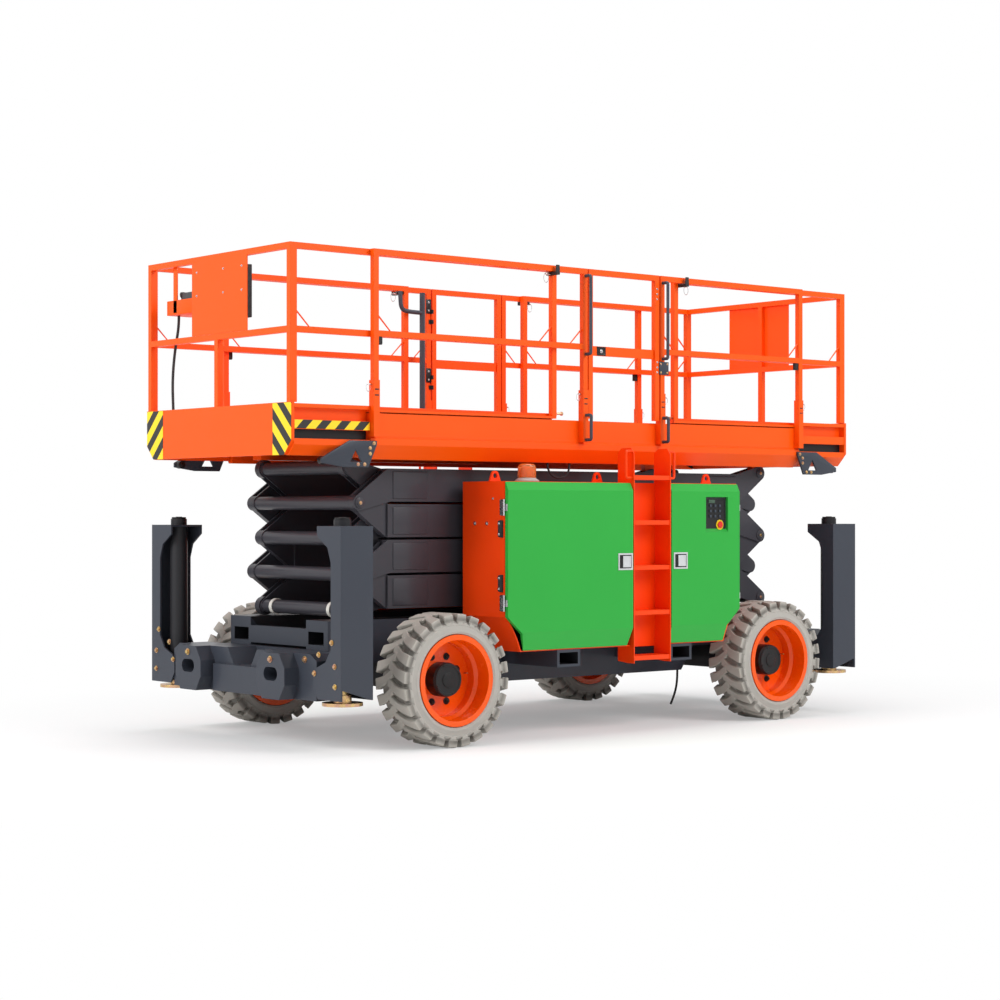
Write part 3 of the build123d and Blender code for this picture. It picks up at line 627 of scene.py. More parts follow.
def drum(radius, low, high, sides=24):
    # Starts a piece as an upright drum on the origin's axis
    let_go()
    bpy.ops.mesh.primitive_cylinder_add(vertices=sides, radius=radius, depth=high - low,
                                        location=(0, 0, (low + high) / 2))
    bpy.ops.object.transform_apply(location=True, rotation=True, scale=True)
    return bpy.context.object


print("starting shapes", box_between.__name__, drum.__name__)

# %% [markdown]
# ## Edits by hand
# A maker would click on faces and then extrude, inset or bevel them. A script can't click, so faces are chosen
# by a test of their place or direction. What repeats has a helper: a dished top, a stack of stages like a
# turned knob, and a hole through both ends. Rounding is a bevel modifier that is applied at once.

# %% Edits


def pick(piece, test):
    # Opens a piece for editing with those faces selected that pass a test
    bpy.context.view_layer.objects.active = piece
    bpy.ops.object.mode_set(mode="EDIT")
    bpy.ops.mesh.select_mode(type="FACE")
    bpy.ops.mesh.select_all(action="DESELECT")
    bpy.ops.object.mode_set(mode="OBJECT")
    for face in piece.data.polygons:
        face.select = test(face.center, face.normal)
    bpy.ops.object.mode_set(mode="EDIT")


def shut():
    # Ends an edit
    bpy.ops.object.mode_set(mode="OBJECT")


def push(*step):
    # Extrudes the chosen faces along a step
    bpy.ops.mesh.extrude_region_move(TRANSFORM_OT_translate={"value": step})


def on_top(spot, normal):
    # Passes the faces that look up
    return normal.z > 0.9


def dish(piece, *rims):
    # Insets the top and moves it, once for each rim and step
    pick(piece, on_top)
    for rim, step in rims:
        bpy.ops.mesh.inset(thickness=rim)
        push(0, 0, step)
    shut()


def stack(piece, *stages):
    # Draws the top up and scales it, once for each scale and rise
    pick(piece, on_top)
    for share, rise in stages:
        push(0, 0, rise)
        bpy.ops.transform.resize(value=(share, share, 1), center_override=(0, 0, 0))
    shut()


def open_through(piece, rim):
    # Insets both ends and bridges them, which opens a hole
    pick(piece, lambda spot, normal: abs(normal.z) > 0.9)
    bpy.ops.mesh.inset(thickness=rim)
    bpy.ops.mesh.bridge_edge_loops()
    shut()


def soften(piece, width, segments=2):
    # Rounds the sharp edges of a piece
    rounding = piece.modifiers.new("rounding", "BEVEL")
    rounding.width = width
    rounding.segments = segments
    rounding.limit_method = "ANGLE"
    rounding.angle_limit = radians(40)
    bpy.context.view_layer.objects.active = piece
    bpy.ops.object.modifier_apply(modifier="rounding")
    return piece


def coat(piece, finish):
    # Gives a new piece its finish
    piece.data.materials.clear()
    piece.data.materials.append(finish)
    return piece


print("edits", [edit.__name__ for edit in (dish, stack, open_through, soften)])

# %% [markdown]
# ## Copies and seats
# What repeats is modelled once, pointing up at the origin, and copied to its seats. Linked copies would share
# one mesh, but a finished piece has to keep its place in its own mesh, so each copy gets its own and is moved
# inside it. A group is joined into one piece and rides on the body that carries it.

# %% Copies and seats


def join(shapes):
    # Makes several shapes one piece
    let_go()
    for shape in shapes:
        shape.select_set(True)
    bpy.context.view_layer.objects.active = shapes[0]
    if len(shapes) > 1:
        bpy.ops.object.join()
    return shapes[0]


def moved_copy(master, matrix):
    # Copies a master with its own mesh, moved inside that mesh
    twin = master.copy()
    twin.data = master.data.copy()
    twin.data.transform(matrix)
    scene.collection.objects.link(twin)
    return twin


def copies(master, seats):
    # Copies a master that points up to seats of place, direction and size
    made = []
    for place, outward, *size in seats:
        turn = Vector(outward).to_track_quat("Z", "Y").to_matrix().to_4x4()
        scale = Matrix.Scale(size[0] if size else 1.0, 4)
        made.append(moved_copy(master, Matrix.Translation(place) @ turn @ scale))
    return made


def settle(piece, name, body):
    # Names a finished piece and ties it to its body
    let_go()
    piece.name = name
    piece.data.name = name
    piece.select_set(True)
    bpy.context.view_layer.objects.active = piece
    bpy.ops.object.shade_smooth_by_angle(angle=radians(35))
    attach(piece, body)
    return piece


def discard(*masters):
    # Removes masters once their copies are made
    for master in masters:
        bpy.data.objects.remove(master)


print("a seat is a place, a direction and a size", copies.__name__)

# %% [markdown]
# ## Bars and cords along a line
# Handles and cables are round all the way along a bent line. A drum could be extruded and turned at each bend,
# but a spline with the corners as control points rounds the bends by itself. A handle is then made a mesh, and
# a cord stays a line.

# %% Bars along a line


def spline_tube(name, radius, points):
    # Draws a round tube along points, with its corners rounded by the spline
    line = bpy.data.curves.new(name, "CURVE")
    line.dimensions = "3D"
    run = line.splines.new("NURBS")
    run.points.add(len(points) - 1)
    for point, place in zip(run.points, points):
        point.co = (*place, 1)
    run.order_u = 3
    run.use_endpoint_u = True
    line.bevel_depth = radius
    line.bevel_resolution = 3
    line.use_fill_caps = True
    bar = bpy.data.objects.new(name, line)
    scene.collection.objects.link(bar)
    return bar


def bent_bar(radius, points, finish):
    # Makes such a tube a mesh
    let_go()
    bar = spline_tube("bar", radius, points)
    bar.select_set(True)
    bpy.context.view_layer.objects.active = bar
    bpy.ops.object.convert(target="MESH")
    return coat(bpy.context.object, finish)


print("line tools", spline_tube.__name__, bent_bar.__name__)

# %% [markdown]
# ## Tyre carcass
# The carcass is the tyre without its lugs: a tread drum with two stepped sidewalls. It could be one profile,
# spun. Here a drum's two ends are extruded step by step down the sidewall to the bead and bridged through the
# middle, so each step of the wall is one pair of radius and height.

# %% Tyre carcass
tyre_low, tyre_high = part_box("tyre_front_left")
tyre_radius = (tyre_high[2] - tyre_low[2]) / 2
half_tyre = (tyre_high[1] - tyre_low[1]) / 2
tread_radius = tyre_radius - 0.028
sidewall = [(0.372, 0.128), (0.356, 0.140), (0.351, 0.1425), (0.347, 0.1425), (0.345, 0.140), (0.318, 0.146),
            (0.314, 0.149), (0.306, 0.149), (0.302, 0.145), (0.294, 0.143), (0.2895, 0.136)]
carcass = drum(tread_radius, -0.104, 0.104, 72)
for side in (1, -1):
    radius_now, height_now = tread_radius, 0.104
    for radius, height in sidewall:
        pick(carcass, lambda spot, normal: normal.z * side > 0.99 and hypot(spot.x, spot.y) < 0.01)
        push(0, 0, side * (height - height_now))
        share = radius / radius_now
        bpy.ops.transform.resize(value=(share, share, 1), center_override=(0, 0, 0))
        shut()
        radius_now, height_now = radius, height
pick(carcass, lambda spot, normal: abs(normal.z) > 0.99 and hypot(spot.x, spot.y) < 0.01)
bpy.ops.mesh.bridge_edge_loops()
bpy.ops.mesh.select_all(action="SELECT")
bpy.ops.mesh.normals_make_consistent(inside=False)
shut()
print("carcass faces", len(carcass.data.polygons))

# %% [markdown]
# ## Lugs
# Two rows of bent lugs stand round the tread, each with a foot on the sidewall. A texture would leave the
# outline round, so the lugs are real. One lug is a box that is extruded along its bend, widened and wrapped to
# the tyre's roundness. It is copied round both rows, the second one mirrored and half a step on.

# %% One lug and its copies
lug_count = 24
lug_root = tread_radius - 0.02
lug_runs = [(-0.014, -0.058, 0.028), (0.056, -0.010, 0.030), (0.126, 0.012, 0.034), (half_tyre, 0.018, 0.036)]
axial, shift, half = lug_runs[0]
lug = box_between((lug_root, shift - half, axial - 0.010), (tyre_radius, shift + half, axial))
for axial_next, shift_next, half_next in lug_runs[1:]:
    pick(lug, on_top)
    push(0, shift_next - shift, axial_next - axial)
    bpy.ops.transform.resize(value=(1, half_next / half, 1), center_override=(0, shift_next, 0))
    shut()
    axial, shift, half = axial_next, shift_next, half_next
pick(lug, on_top)
bpy.ops.transform.translate(value=(-0.004, 0, 0))
shut()
foot = box_between((0.352, shift - 0.031, 0.118), (0.404, shift + 0.031, half_tyre - 0.004))
pick(foot, lambda spot, normal: normal.x < -0.9)
bpy.ops.transform.resize(value=(1, 0.7, 1), center_override=(0, shift, 0))
shut()
lug = join([soften(lug, 0.004, 1), soften(foot, 0.004, 1)])
for corner in lug.data.vertices:
    corner.co.x = sqrt(corner.co.x ** 2 - corner.co.y ** 2)
lugs = []
for row in (1, -1):
    flip = Matrix.Scale(row, 4, (0, 0, 1))
    for index in range(lug_count):
        angle = tau * (index + (row + 1) / 4) / lug_count
        twin = moved_copy(lug, Matrix.Rotation(angle, 4, "Z") @ flip)
        if row < 0:
            twin.data.flip_normals()
        lugs.append(twin)
discard(lug)
tyre_master = coat(join([carcass, *lugs]), grey_tyre)
print("tyre faces", len(tyre_master.data.polygons))

# %% [markdown]
# ## Four tyres
# The finished tyre goes to the four wheels, on the left ones with its outer side to the left. Four separate
# tyres could be modelled, but they are alike. Each replaces the plain tyre of the frame and turns with its
# wheel.

# %% Four tyres
places = ("front_left", "front_right", "rear_left", "rear_right")
outward = {"left": (0, -1, 0), "right": (0, 1, 0)}


def wheel_seat(place):
    # Gives the middle of a wheel and its outward direction
    low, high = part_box("tyre_" + place)
    return tuple((a + b) / 2 for a, b in zip(low, high)), outward[place.split("_")[1]]


for place in places:
    tyre = settle(copies(tyre_master, [wheel_seat(place)])[0], "rubber_" + place, "wheel_" + place)
    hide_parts("tyre_" + place)
discard(tyre_master)
print("tyres", len(places))

# %% [markdown]
# ## Bolt and nut
# Most bolts of the machine are a hexagon head on a washer, and the wheel nuts have a raised cap as well. They
# are small in the picture, so threads and chamfers would be lost. Two short drums with one rounded edge carry
# the light well enough.

# %% Bolt and nut masters


def capped_bolt(finish, head, height, sides=6):
    # A washer with a bolt head on it, the head's top edge rounded
    washer = drum(head * 1.45, 0, height * 0.25, 16)
    top = drum(head, height * 0.2, height, sides)
    return coat(join([washer, soften(top, head * 0.14, 1)]), finish)


gold_bolt = capped_bolt(zinc_yellow, 0.010, 0.010)
black_nut = capped_bolt(hub_black, 0.016, 0.020)
pick(black_nut, lambda spot, normal: normal.z > 0.99 and spot.z > 0.019)
bpy.ops.mesh.inset(thickness=0.004)
push(0, 0, 0.008)
shut()
soften(black_nut, 0.002, 2)


def steel_bolts(seats):
    # Copies the bolt to its seats, in bright steel
    return [coat(bolt, steel_bright) for bolt in copies(gold_bolt, seats)]


print("bolt faces", len(gold_bolt.data.polygons), "nut faces", len(black_nut.data.polygons))

# %% [markdown]
# ## Hub sets
# Each hub has a black cap with a stepped face and small bolts, eight capped nuts hold the rim, and a valve stem
# stands beside them. The cap could be turned from a profile, but two insets on a drum make the same steps. One
# set is modelled on the origin and copied to the four wheels.

# %% Hub sets
disc_face = -0.040
hub_face = 0.055
nut_circle = 0.152
cap = drum(0.103, hub_face, hub_face + 0.006, 48)
dish(cap, (0.016, -0.003), (0.040, 0.005))
cap = coat(soften(cap, 0.0015), hub_black)
around = [(cos(tau * (i + 0.5) / 8), sin(tau * (i + 0.5) / 8)) for i in range(8)]
nuts = copies(black_nut, [((nut_circle * c, nut_circle * s, disc_face), (0, 0, 1)) for c, s in around])
cap_seats = [((0.094 * c, 0.094 * s, hub_face + 0.005), (0, 0, 1), 0.55) for c, s in around[::2]]
cap_bolts = [coat(bolt, hub_black) for bolt in copies(gold_bolt, cap_seats)]
stem = drum(0.006, disc_face - 0.004, disc_face + 0.034, 12)
stem.data.transform(Matrix.Translation((0.205, 0.03, 0)))
hub_master = join([cap, *nuts, *cap_bolts, coat(soften(stem, 0.0015), zinc_yellow)])
for place in places:
    settle(copies(hub_master, [wheel_seat(place)])[0], "hub_" + place, "wheel_" + place)
discard(hub_master)
print("hub sets", len(places))

# %% [markdown]
# ## Outrigger bolts
# Yellow zinc bolts hold the four columns to their beams: five on each flange, one on the tie and one beside it.
# They could be placed one by one, but the machine is the same at all four corners. So one corner's seats are
# written down and mirrored.

# %% Outrigger bolts
column_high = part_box("outrigger_columns")[1]
tie_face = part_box("outrigger_beams")[1][0]
flange_seats = [(1.007, 0.681), (0.871, 0.603), (1.038, 0.538), (0.824, 0.487), (1.041, 0.416)]
corners = [(end, side) for end in (-1, 1) for side in (-1, 1)]
outrigger_seats = []
for end, side in corners:
    for y, z in flange_seats:
        outrigger_seats.append(((end * column_high[0], side * y, z), (end, 0, 0), 1.25))
    outrigger_seats.append(((end * tie_face, side * 0.483, 0.560), (end, 0, 0), 1.5))
    outrigger_seats.append(((end * (column_high[0] - 0.012), side * 0.705, 0.565), (end, 0, 0), 1.5))
settle(join(copies(gold_bolt, outrigger_seats)), "outrigger_bolts", "chassis")
print("outrigger bolts", len(outrigger_seats))

# %% [markdown]
# ## Bracket plate
# Grey plates under the ends of the main deck reach out below the extensions. Each is a sheet with sloping edges
# and a three-sided window. The outline could be drawn and extruded, but cutting a box along straight lines
# shows each slope as two points. The window is a Boolean, because an inset would overlap itself in so narrow a
# plate.

# %% Bracket plate
deck_low, deck_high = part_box("main_deck")
bracket_face, bracket_thick = 0.863, 0.014
bracket_low, bracket_top, bracket_reach = floor_z - 0.253, floor_z - 0.088, 0.385
bracket = box_between((-0.035, 0, bracket_low), (bracket_reach, bracket_thick, bracket_top))
cuts = [((0.170, bracket_top), (bracket_reach, floor_z - 0.200), 1),
        ((0.225, bracket_low), (bracket_reach, floor_z - 0.230), -1),
        ((-0.035, floor_z - 0.112), (0.030, bracket_low), -1)]
for (x1, z1), (x2, z2), way in cuts:
    pick(bracket, lambda spot, normal: True)
    bpy.ops.mesh.bisect(plane_co=(x1, 0, z1), plane_no=(way * (z1 - z2), 0, way * (x2 - x1)),
                        use_fill=True, clear_outer=True)
    shut()
window = drum(0.052, -0.05, 0.05, 3)
window.data.transform(Matrix.Translation((0.125, 0, floor_z - 0.195)) @ Matrix.Rotation(pi / 2, 4, "X"))
let_go()
bracket.select_set(True)
bpy.context.view_layer.objects.active = bracket
cut = bracket.modifiers.new("window", "BOOLEAN")
cut.object = window
cut.solver = "EXACT"
bpy.ops.object.modifier_apply(modifier=cut.name)
discard(window)
print("bracket faces", len(bracket.data.polygons))

# %% [markdown]
# ## Rollers and four brackets
# A black roller at the bracket's tip carries the extension, and five bolts hold the plate to the deck. Four
# brackets could be modelled, but one that is mirrored along X and Y does for all. A mirror turns a mesh inside
# out, so where only one axis is mirrored the normals are flipped back.

# %% Rollers and four brackets
roller = drum(0.026, 0, 0.046, 24)
dish(roller, (0.010, 0.004))
wheel_spot = (bracket_reach - 0.033, 0.002, floor_z - 0.213)
wheel_turn = Matrix.Translation(wheel_spot) @ Matrix.Rotation(pi / 2, 4, "X")
soften(roller, 0.0015).data.transform(wheel_turn)
bracket_master = join([coat(soften(bracket, 0.0015), outrigger_grey), coat(roller, hub_black)])
brackets = []
for end, root in ((-1, deck_low[0]), (1, deck_high[0])):
    for side in (-1, 1):
        flip = Matrix.Diagonal((end, side, 1, 1))
        seat = Matrix.Translation((root, side * (bracket_face - bracket_thick), 0))
        twin = moved_copy(bracket_master, seat @ flip)
        if end * side < 0:
            twin.data.flip_normals()
        brackets.append(twin)
        for x, z in ((-0.012, 0.150), (0.018, 0.120), (0.018, 0.085), (0.060, 0.018), (0.110, 0.018)):
            spot = (root + end * x, side * bracket_face, bracket_low + z)
            brackets += copies(gold_bolt, [(spot, (0, side, 0), 0.8)])
discard(bracket_master)
settle(join(brackets), "deck_brackets_bolted", "platform")
print("brackets", len(corners))

# %% [markdown]
# ## Hood bolts
# Three bright bolts hold each end wall of the hoods. They are the same bolt in another metal, so the master is
# copied and coated again rather than modelled again.

# %% Hood bolts
wall_x = 1.05
wall_seats = []
for end, side in corners:
    for y, z in ((0.815, 1.397), (0.938, 1.397), (0.998, 1.557)):
        wall_seats.append(((end * wall_x, side * y, z), (end, 0, 0), 0.9 if z < 1.5 else 0.6))
settle(join(steel_bolts(wall_seats)), "hood_bolts", "chassis")
print("hood bolts", len(wall_seats))

# %% [markdown]
# ## Hinge leaves
# Bright butt hinges carry the doors at their outer edges. The barrels are part of the solids, so only the flat
# leaves with their six screws are missing. A leaf could be painted on, but its thickness catches the light. One
# leaf is seated on the end walls by a matrix that turns its face outwards.

# %% Hinge leaves
leaf = box_between((-0.020, -0.050, 0), (0.020, 0.050, 0.003))
screw_seats = [((x, y, 0.002), (0, 0, 1), 0.45) for x in (-0.010, 0.006) for y in (-0.034, 0.0, 0.034)]
hinge_master = join([coat(soften(leaf, 0.0012), steel_bright), *steel_bolts(screw_seats)])


def on_wall(end, side, y, z):
    # Gives the seat of a flat piece on a hood's end wall
    return Matrix(((0, 0, end, end * wall_x), (end, 0, 0, side * y), (0, 1, 0, z), (0, 0, 0, 1)))


leaves = [moved_copy(hinge_master, on_wall(*corner, 1.088, z)) for corner in corners for z in (0.890, 1.500)]
settle(join(leaves), "hinge_leaves", "chassis")
discard(hinge_master)
print("hinge leaves", len(leaves))

# %% [markdown]
# ## Latches
# Each door has a paddle latch beside the ladder: a cast alloy frame round a black cup, with a paddle in it. The
# cup could be sunk into the door, but the door's solid stays as it is, so the latch stands on it by a few
# millimetres. The frame is a plate whose two faces are inset and bridged, which opens it over the cup.

# %% Latches
side_y = -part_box("door_near_left")[0][1]
hood_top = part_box("door_near_left")[1][2] + 0.004
latch_z = hood_top - 0.527
latch_x = {"left": -0.035, "right": 0.476}
latch_frame = box_between((-0.065, -0.056, -0.002), (0.065, 0.056, 0.005))
open_through(latch_frame, 0.011)
cup = box_between((-0.056, -0.047, -0.002), (0.056, 0.047, 0.001))
paddle = box_between((-0.022, -0.038, 0.001), (0.049, 0.038, 0.004))
dish(paddle, (0.009, -0.0015))
latch_master = join([coat(soften(latch_frame, 0.0016), cast_alloy), coat(cup, hub_black),
                     coat(soften(paddle, 0.001), cast_alloy)])
for name in named("door_"):
    sign = -1 if name.split("_")[1] == "near" else 1
    seat = ((latch_x[name.split("_")[2]], sign * side_y, latch_z), (0, sign, 0))
    settle(copies(latch_master, [seat])[0], "latch_" + name, name)
discard(latch_master)
print("latches at x", sorted(latch_x.values()))

# %% [markdown]
# ## Buffers
# Black rubber buffers sit on the hoods' end walls, two to a corner, moulded with sloping sides and held by two
# bolts. A plain box would look sharp, so its top is narrowed and raised by an inset, and all its edges are
# rounded.

# %% Buffers
buffer = box_between((-0.017, -0.056, 0), (0.017, 0.056, 0.022))
pick(buffer, on_top)
bpy.ops.transform.resize(value=(0.72, 0.9, 1), center_override=(0, 0, 0))
bpy.ops.mesh.inset(thickness=0.004)
push(0, 0, 0.003)
shut()
coat(soften(buffer, 0.004), black_rubber)
buffer_master = join([buffer, *steel_bolts([((0, y, 0.024), (0, 0, 1), 0.7) for y in (-0.034, 0.034)])])
buffers = [moved_copy(buffer_master, on_wall(*corner, 1.086, z)) for corner in corners for z in (1.015, 1.363)]
settle(join(buffers), "wall_buffers", "chassis")
discard(buffer_master)
print("buffers", len(buffers))

# %% [markdown]
# ## Ground panel
# The near right door holds the ground controls: a grey housing with a black face and a dark display, over a
# sloped green sill. It could be carved into the door, but the door's solid stays whole. So the housing's front
# is moved back to leave a shallow recess, and the sill is a box with one edge let down.

# %% Panel body
panel_low, panel_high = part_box("ground_control")
panel_y = panel_high[1] - 0.012
face = box_between((panel_low[0] + 0.012, panel_y - 0.003, panel_low[2] + 0.012),
                   (panel_high[0] - 0.012, panel_y, panel_high[2] - 0.012))
pick(face, lambda spot, normal: normal.y < -0.9)
bpy.ops.mesh.inset(thickness=0.008)
push(0, 0.002, 0)
shut()
coat(soften(face, 0.001), hub_black)
display = box_between((panel_low[0] + 0.042, panel_y - 0.006, panel_high[2] - 0.042),
                      (panel_low[0] + 0.102, panel_y - 0.001, panel_high[2] - 0.018))
coat(soften(display, 0.002), display_glass)
sill = box_between((panel_low[0], -side_y + 0.001, panel_low[2]),
                   (panel_high[0], panel_y, panel_low[2] + 0.024))
for corner in sill.data.vertices:
    if corner.co.z > panel_low[2] + 0.01 and corner.co.y < panel_y - 0.012:
        corner.co.z = panel_low[2] + 0.003
coat(sill, door_green)
panel_back = box_between(panel_low, panel_high)
pick(panel_back, lambda spot, normal: normal.y < -0.9)
bpy.ops.transform.translate(value=(0, panel_y - panel_low[1], 0))
shut()
coat(soften(panel_back, 0.0015), grey_plastic)
print("panel", [round(v, 3) for v in (*panel_low, *panel_high)])

# %% [markdown]
# ## Panel controls
# Three rows of three keys and a red stop button on a yellow ring stand on the panel. The button could be a
# sphere, but a stack of stages on a drum gives its mushroom shape. All is joined to the panel, which replaces
# the plain one of the frame and swings with its door.

# %% Panel controls
stop_ring = drum(0.034, 0, 0.006, 28)
dish(stop_ring, (0.006, -0.001))
coat(soften(stop_ring, 0.001), stop_yellow)
stop_seat = ((panel_high[0] - 0.064, panel_y, panel_low[2] + 0.050), (0, -1, 0))
ground_ring = copies(stop_ring, [stop_seat])
ground_knob = drum(0.014, 0, 0.004, 24)
stack(ground_knob, (1.6, 0.003), (1.08, 0.005), (0.8, 0.004))
coat(soften(ground_knob, 0.0012), stop_red)
ground_knobs = copies(ground_knob, [stop_seat])
panel_key = box_between((-0.009, -0.009, 0), (0.009, 0.009, 0.006))
dish(panel_key, (0.003, 0.002))
coat(soften(panel_key, 0.001), handle_grey)
key_seats = [((panel_low[0] + 0.060 + 0.045 * column, panel_y - 0.001, panel_high[2] - 0.060 - 0.036 * row),
              (0, -1, 0)) for column in range(3) for row in range(3)]
panel_keys = copies(panel_key, key_seats)
discard(ground_knob, panel_key)
panel = settle(join([panel_back, face, display, sill, *ground_ring, *ground_knobs, *panel_keys]), "panel_face",
               "door_near_right")
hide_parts("ground_control")
print("panel keys", len(key_seats))

# %% [markdown]
# ## Beacon
# The beacon on the hood is a grey base, an amber core and a clear ribbed cover. The ribs could be a bump, but
# they show in the outline. So every other face of the cover's wall is pushed out along its normal.

# %% Beacon
beacon_low, beacon_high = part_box("beacon")
beacon_spot = ((beacon_low[0] + beacon_high[0]) / 2, (beacon_low[1] + beacon_high[1]) / 2, beacon_low[2])
base = drum(0.080, 0, 0.010, 36)
stack(base, (0.86, 0.006), (0.80, 0.012))
core = drum(0.042, 0.026, 0.088, 32)
stack(core, (0.8, 0.006), (0.6, 0.004))
cover = drum(0.058, 0.026, 0.098, 40)
stack(cover, (0.94, 0.010), (0.82, 0.007), (0.5, 0.004))
sector = tau / 20
pick(cover, lambda spot, normal: abs(normal.z) < 0.1
     and int((spot.xy.angle_signed(Vector((1, 0))) + pi) / sector * 2) % 2 == 0)
bpy.ops.mesh.extrude_region_shrink_fatten(TRANSFORM_OT_shrink_fatten={"value": 0.0025})
shut()
shapes = [coat(soften(base, 0.002), beacon_grey), coat(core, amber_lens),
          coat(soften(cover, 0.0008, 1), amber_cover)]
light = join(shapes)
light.data.transform(Matrix.Translation(beacon_spot))
settle(light, "flashing_beacon", "chassis")
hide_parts("beacon")
print("beacon at", [round(v, 3) for v in beacon_spot])

# %% [markdown]
# ## Stripes
# Striped plates mark the corners of both end panels and the bars in the side slots. They could be faces of the
# solids in another finish, but no edge of the solids runs where the stripes end. So they are thin plates, and
# the corner ones are cut along a slope.

# %% Stripes
slide_low, slide_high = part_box("extension_deck_left")
panel_top = slide_high[2]
stripe_skin = 0.0016
for body, end in (("extension_left", -1), ("extension_right", 1)):
    tip = end * -slide_low[0]
    plates = []
    for side in (-1, 1):
        edge_y = slide_high[1]
        plate = box_between((tip, side * (edge_y - 0.205), panel_top - 0.320),
                            (tip + end * stripe_skin, side * (edge_y - 0.003), panel_top - 0.003))
        pick(plate, lambda spot, normal: True)
        bpy.ops.mesh.bisect(plane_co=(tip, side * (edge_y - 0.004), panel_top - 0.232),
                            plane_no=(0, side * 0.74, -0.67), use_fill=True, clear_outer=True)
        shut()
        plates.append(coat(plate, corner_stripes))
    settle(join(plates), "corner_stripes_" + body, body)
bars = []
for side in (-1, 1):
    face_y = side * (slide_high[1] - 0.004)
    bar = box_between((deck_low[0] - 0.010, face_y, floor_z - 0.023),
                      (slide_low[0] + 0.024, face_y + side * stripe_skin, floor_z + 0.030))
    bars.append(coat(soften(bar, 0.0005, 1), bar_stripes))
settle(join(bars), "slot_stripes", "extension_left")
print("striped plates", 6)

# %% [markdown]
# ## Sign bolts
# The blank sign plates on the end rails are held by six small bolts each. They are copies of the one bolt at
# about half size, placed from the plate's two ends.

# %% Sign bolts
sign_spans = {"extension_left": (-0.359, 0.287), "extension_right": (-0.271, 0.361)}
rail_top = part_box("main_rails")[1][2]
for body, (near, far) in sign_spans.items():
    end = -1 if body.endswith("left") else 1
    tip = end * -slide_low[0]
    seats = []
    for y in (near + 0.06, (near + far) / 2 - 0.05, far - 0.06):
        for z in (rail_top - 0.10, rail_top - 0.25):
            seats.append(((tip, y, z), (end, 0, 0), 0.55))
    settle(join(steel_bolts(seats)), "sign_bolts_" + body, body)
print("sign bolts", 12)

# %% [markdown]
# ## Braces
# Slim braces lean between the mid rails and the posts. They could be bars on a line, but they are flat and
# widen at the top, so one is a thin box whose top is widened and drawn up. A copy's direction gives its lean.

# %% Braces
mid_top = rail_top - 0.506
brace = box_between((-0.004, -0.003, 0), (0.004, 0.003, 0.150))
pick(brace, on_top)
bpy.ops.transform.resize(value=(1.6, 1, 1), center_override=(0, 0, 0.15))
push(0, 0, 0.012)
shut()
brace_master = coat(soften(brace, 0.0012), platform_orange)
brace_run = 0.104


def braces(name, body, places):
    # Leans a brace from the mid rail to a post at each place
    made = []
    for x, y, lean in places:
        foot = (x + lean * brace_run, y, mid_top - 0.003)
        made += copies(brace_master, [(foot, (-lean, 0, 1))])
    settle(join(made), name, body)


main_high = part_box("main_rails")[1]
gate_low, gate_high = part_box("gate_near")
tube = 0.038
rail_face = gate_high[1] if gate_high[1] > 0 else -gate_low[1]
main_y = rail_face - tube / 2
gate_left, gate_right = -0.127, 0.551
main_places = [(deck_low[0] + tube, 1), (gate_left - tube, -1), (gate_right + tube, 1), (deck_high[0] - tube, -1)]
braces("main_braces", "platform", [(x, side * main_y, lean) for x, lean in main_places for side in (-1, 1)])
slide_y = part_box("extension_rails_left")[1][1] - tube / 2
inner_post = {"extension_left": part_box("extension_rails_left")[1][0],
              "extension_right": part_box("extension_rails_right")[0][0]}
for body, end in (("extension_left", -1), ("extension_right", 1)):
    tip = end * -slide_low[0]
    spots = [(tip - end * 0.050, -end), (inner_post[body] + end * tube, end)]
    braces("braces_" + body, body, [(x, side * slide_y, lean) for x, lean in spots for side in (-1, 1)])
discard(brace_master)
print("braces", 16)

# %% [markdown]
# ## Sleeve slots and hitch pins
# The posts stand in sleeves with two slots and a hitch pin on a wire loop. The slots could be cut, but the
# rails' solid stays whole, so a thin black plate on each paints the shade inside the slot. The loop is a torus
# drawn long.

# %% Sleeve slots and hitch pins
slot_shade_plates, pin_shapes = [], []
pin = drum(0.0045, -0.010, 0.030, 10)
let_go()
bpy.ops.mesh.primitive_torus_add(major_radius=0.016, minor_radius=0.0014, major_segments=24, minor_segments=6)
loop = bpy.context.object
pick(loop, lambda spot, normal: True)
bpy.ops.transform.resize(value=(1.0, 1.5, 1.0), center_override=(0, 0, 0))
shut()
loop.data.transform(Matrix.Translation((0.0, -0.020, 0.026)) @ Matrix.Rotation(pi / 2, 4, "Y"))
pin_master = join([coat(soften(pin, 0.001), steel_bright), coat(loop, steel_bright)])
post_x = [deck_low[0] + tube / 2, gate_left - tube / 2, gate_right + tube / 2, deck_high[0] - tube / 2]
for x in post_x:
    for side in (-1, 1):
        face_y = side * main_high[1]
        # Each slot is a thin black plate: painted shade where the sleeve is open.
        for z in (floor_z + 0.196, floor_z + 0.232):
            low = (x - 0.015, face_y - side * 0.001, z - 0.004)
            high = (x + 0.015, face_y + side * 0.0012, z + 0.004)
            slot_shade_plates.append(coat(soften(box_between(low, high), 0.0015), black_rubber))
        lean = -1 if x < 0.3 else 1
        pin_spot = (x + lean * (tube / 2 + 0.004), side * main_y, floor_z + 0.262)
        pin_shapes += copies(pin_master, [(pin_spot, (lean, 0, 0))])
settle(join(slot_shade_plates), "sleeve_slot_shade", "platform")
settle(join(pin_shapes), "hitch_pins", "platform")
print("sleeves", 2 * len(post_x))

# %% [markdown]
# ## Rail clips and pull pins
# Hooked clips at the extensions' inner posts hold on to the main top rail, and zinc pull pins stand at the posts'
# feet. A clip could be bent along a line, but it is a flat hook. So a box is drawn out at one end and then up,
# which needs two extrusions.

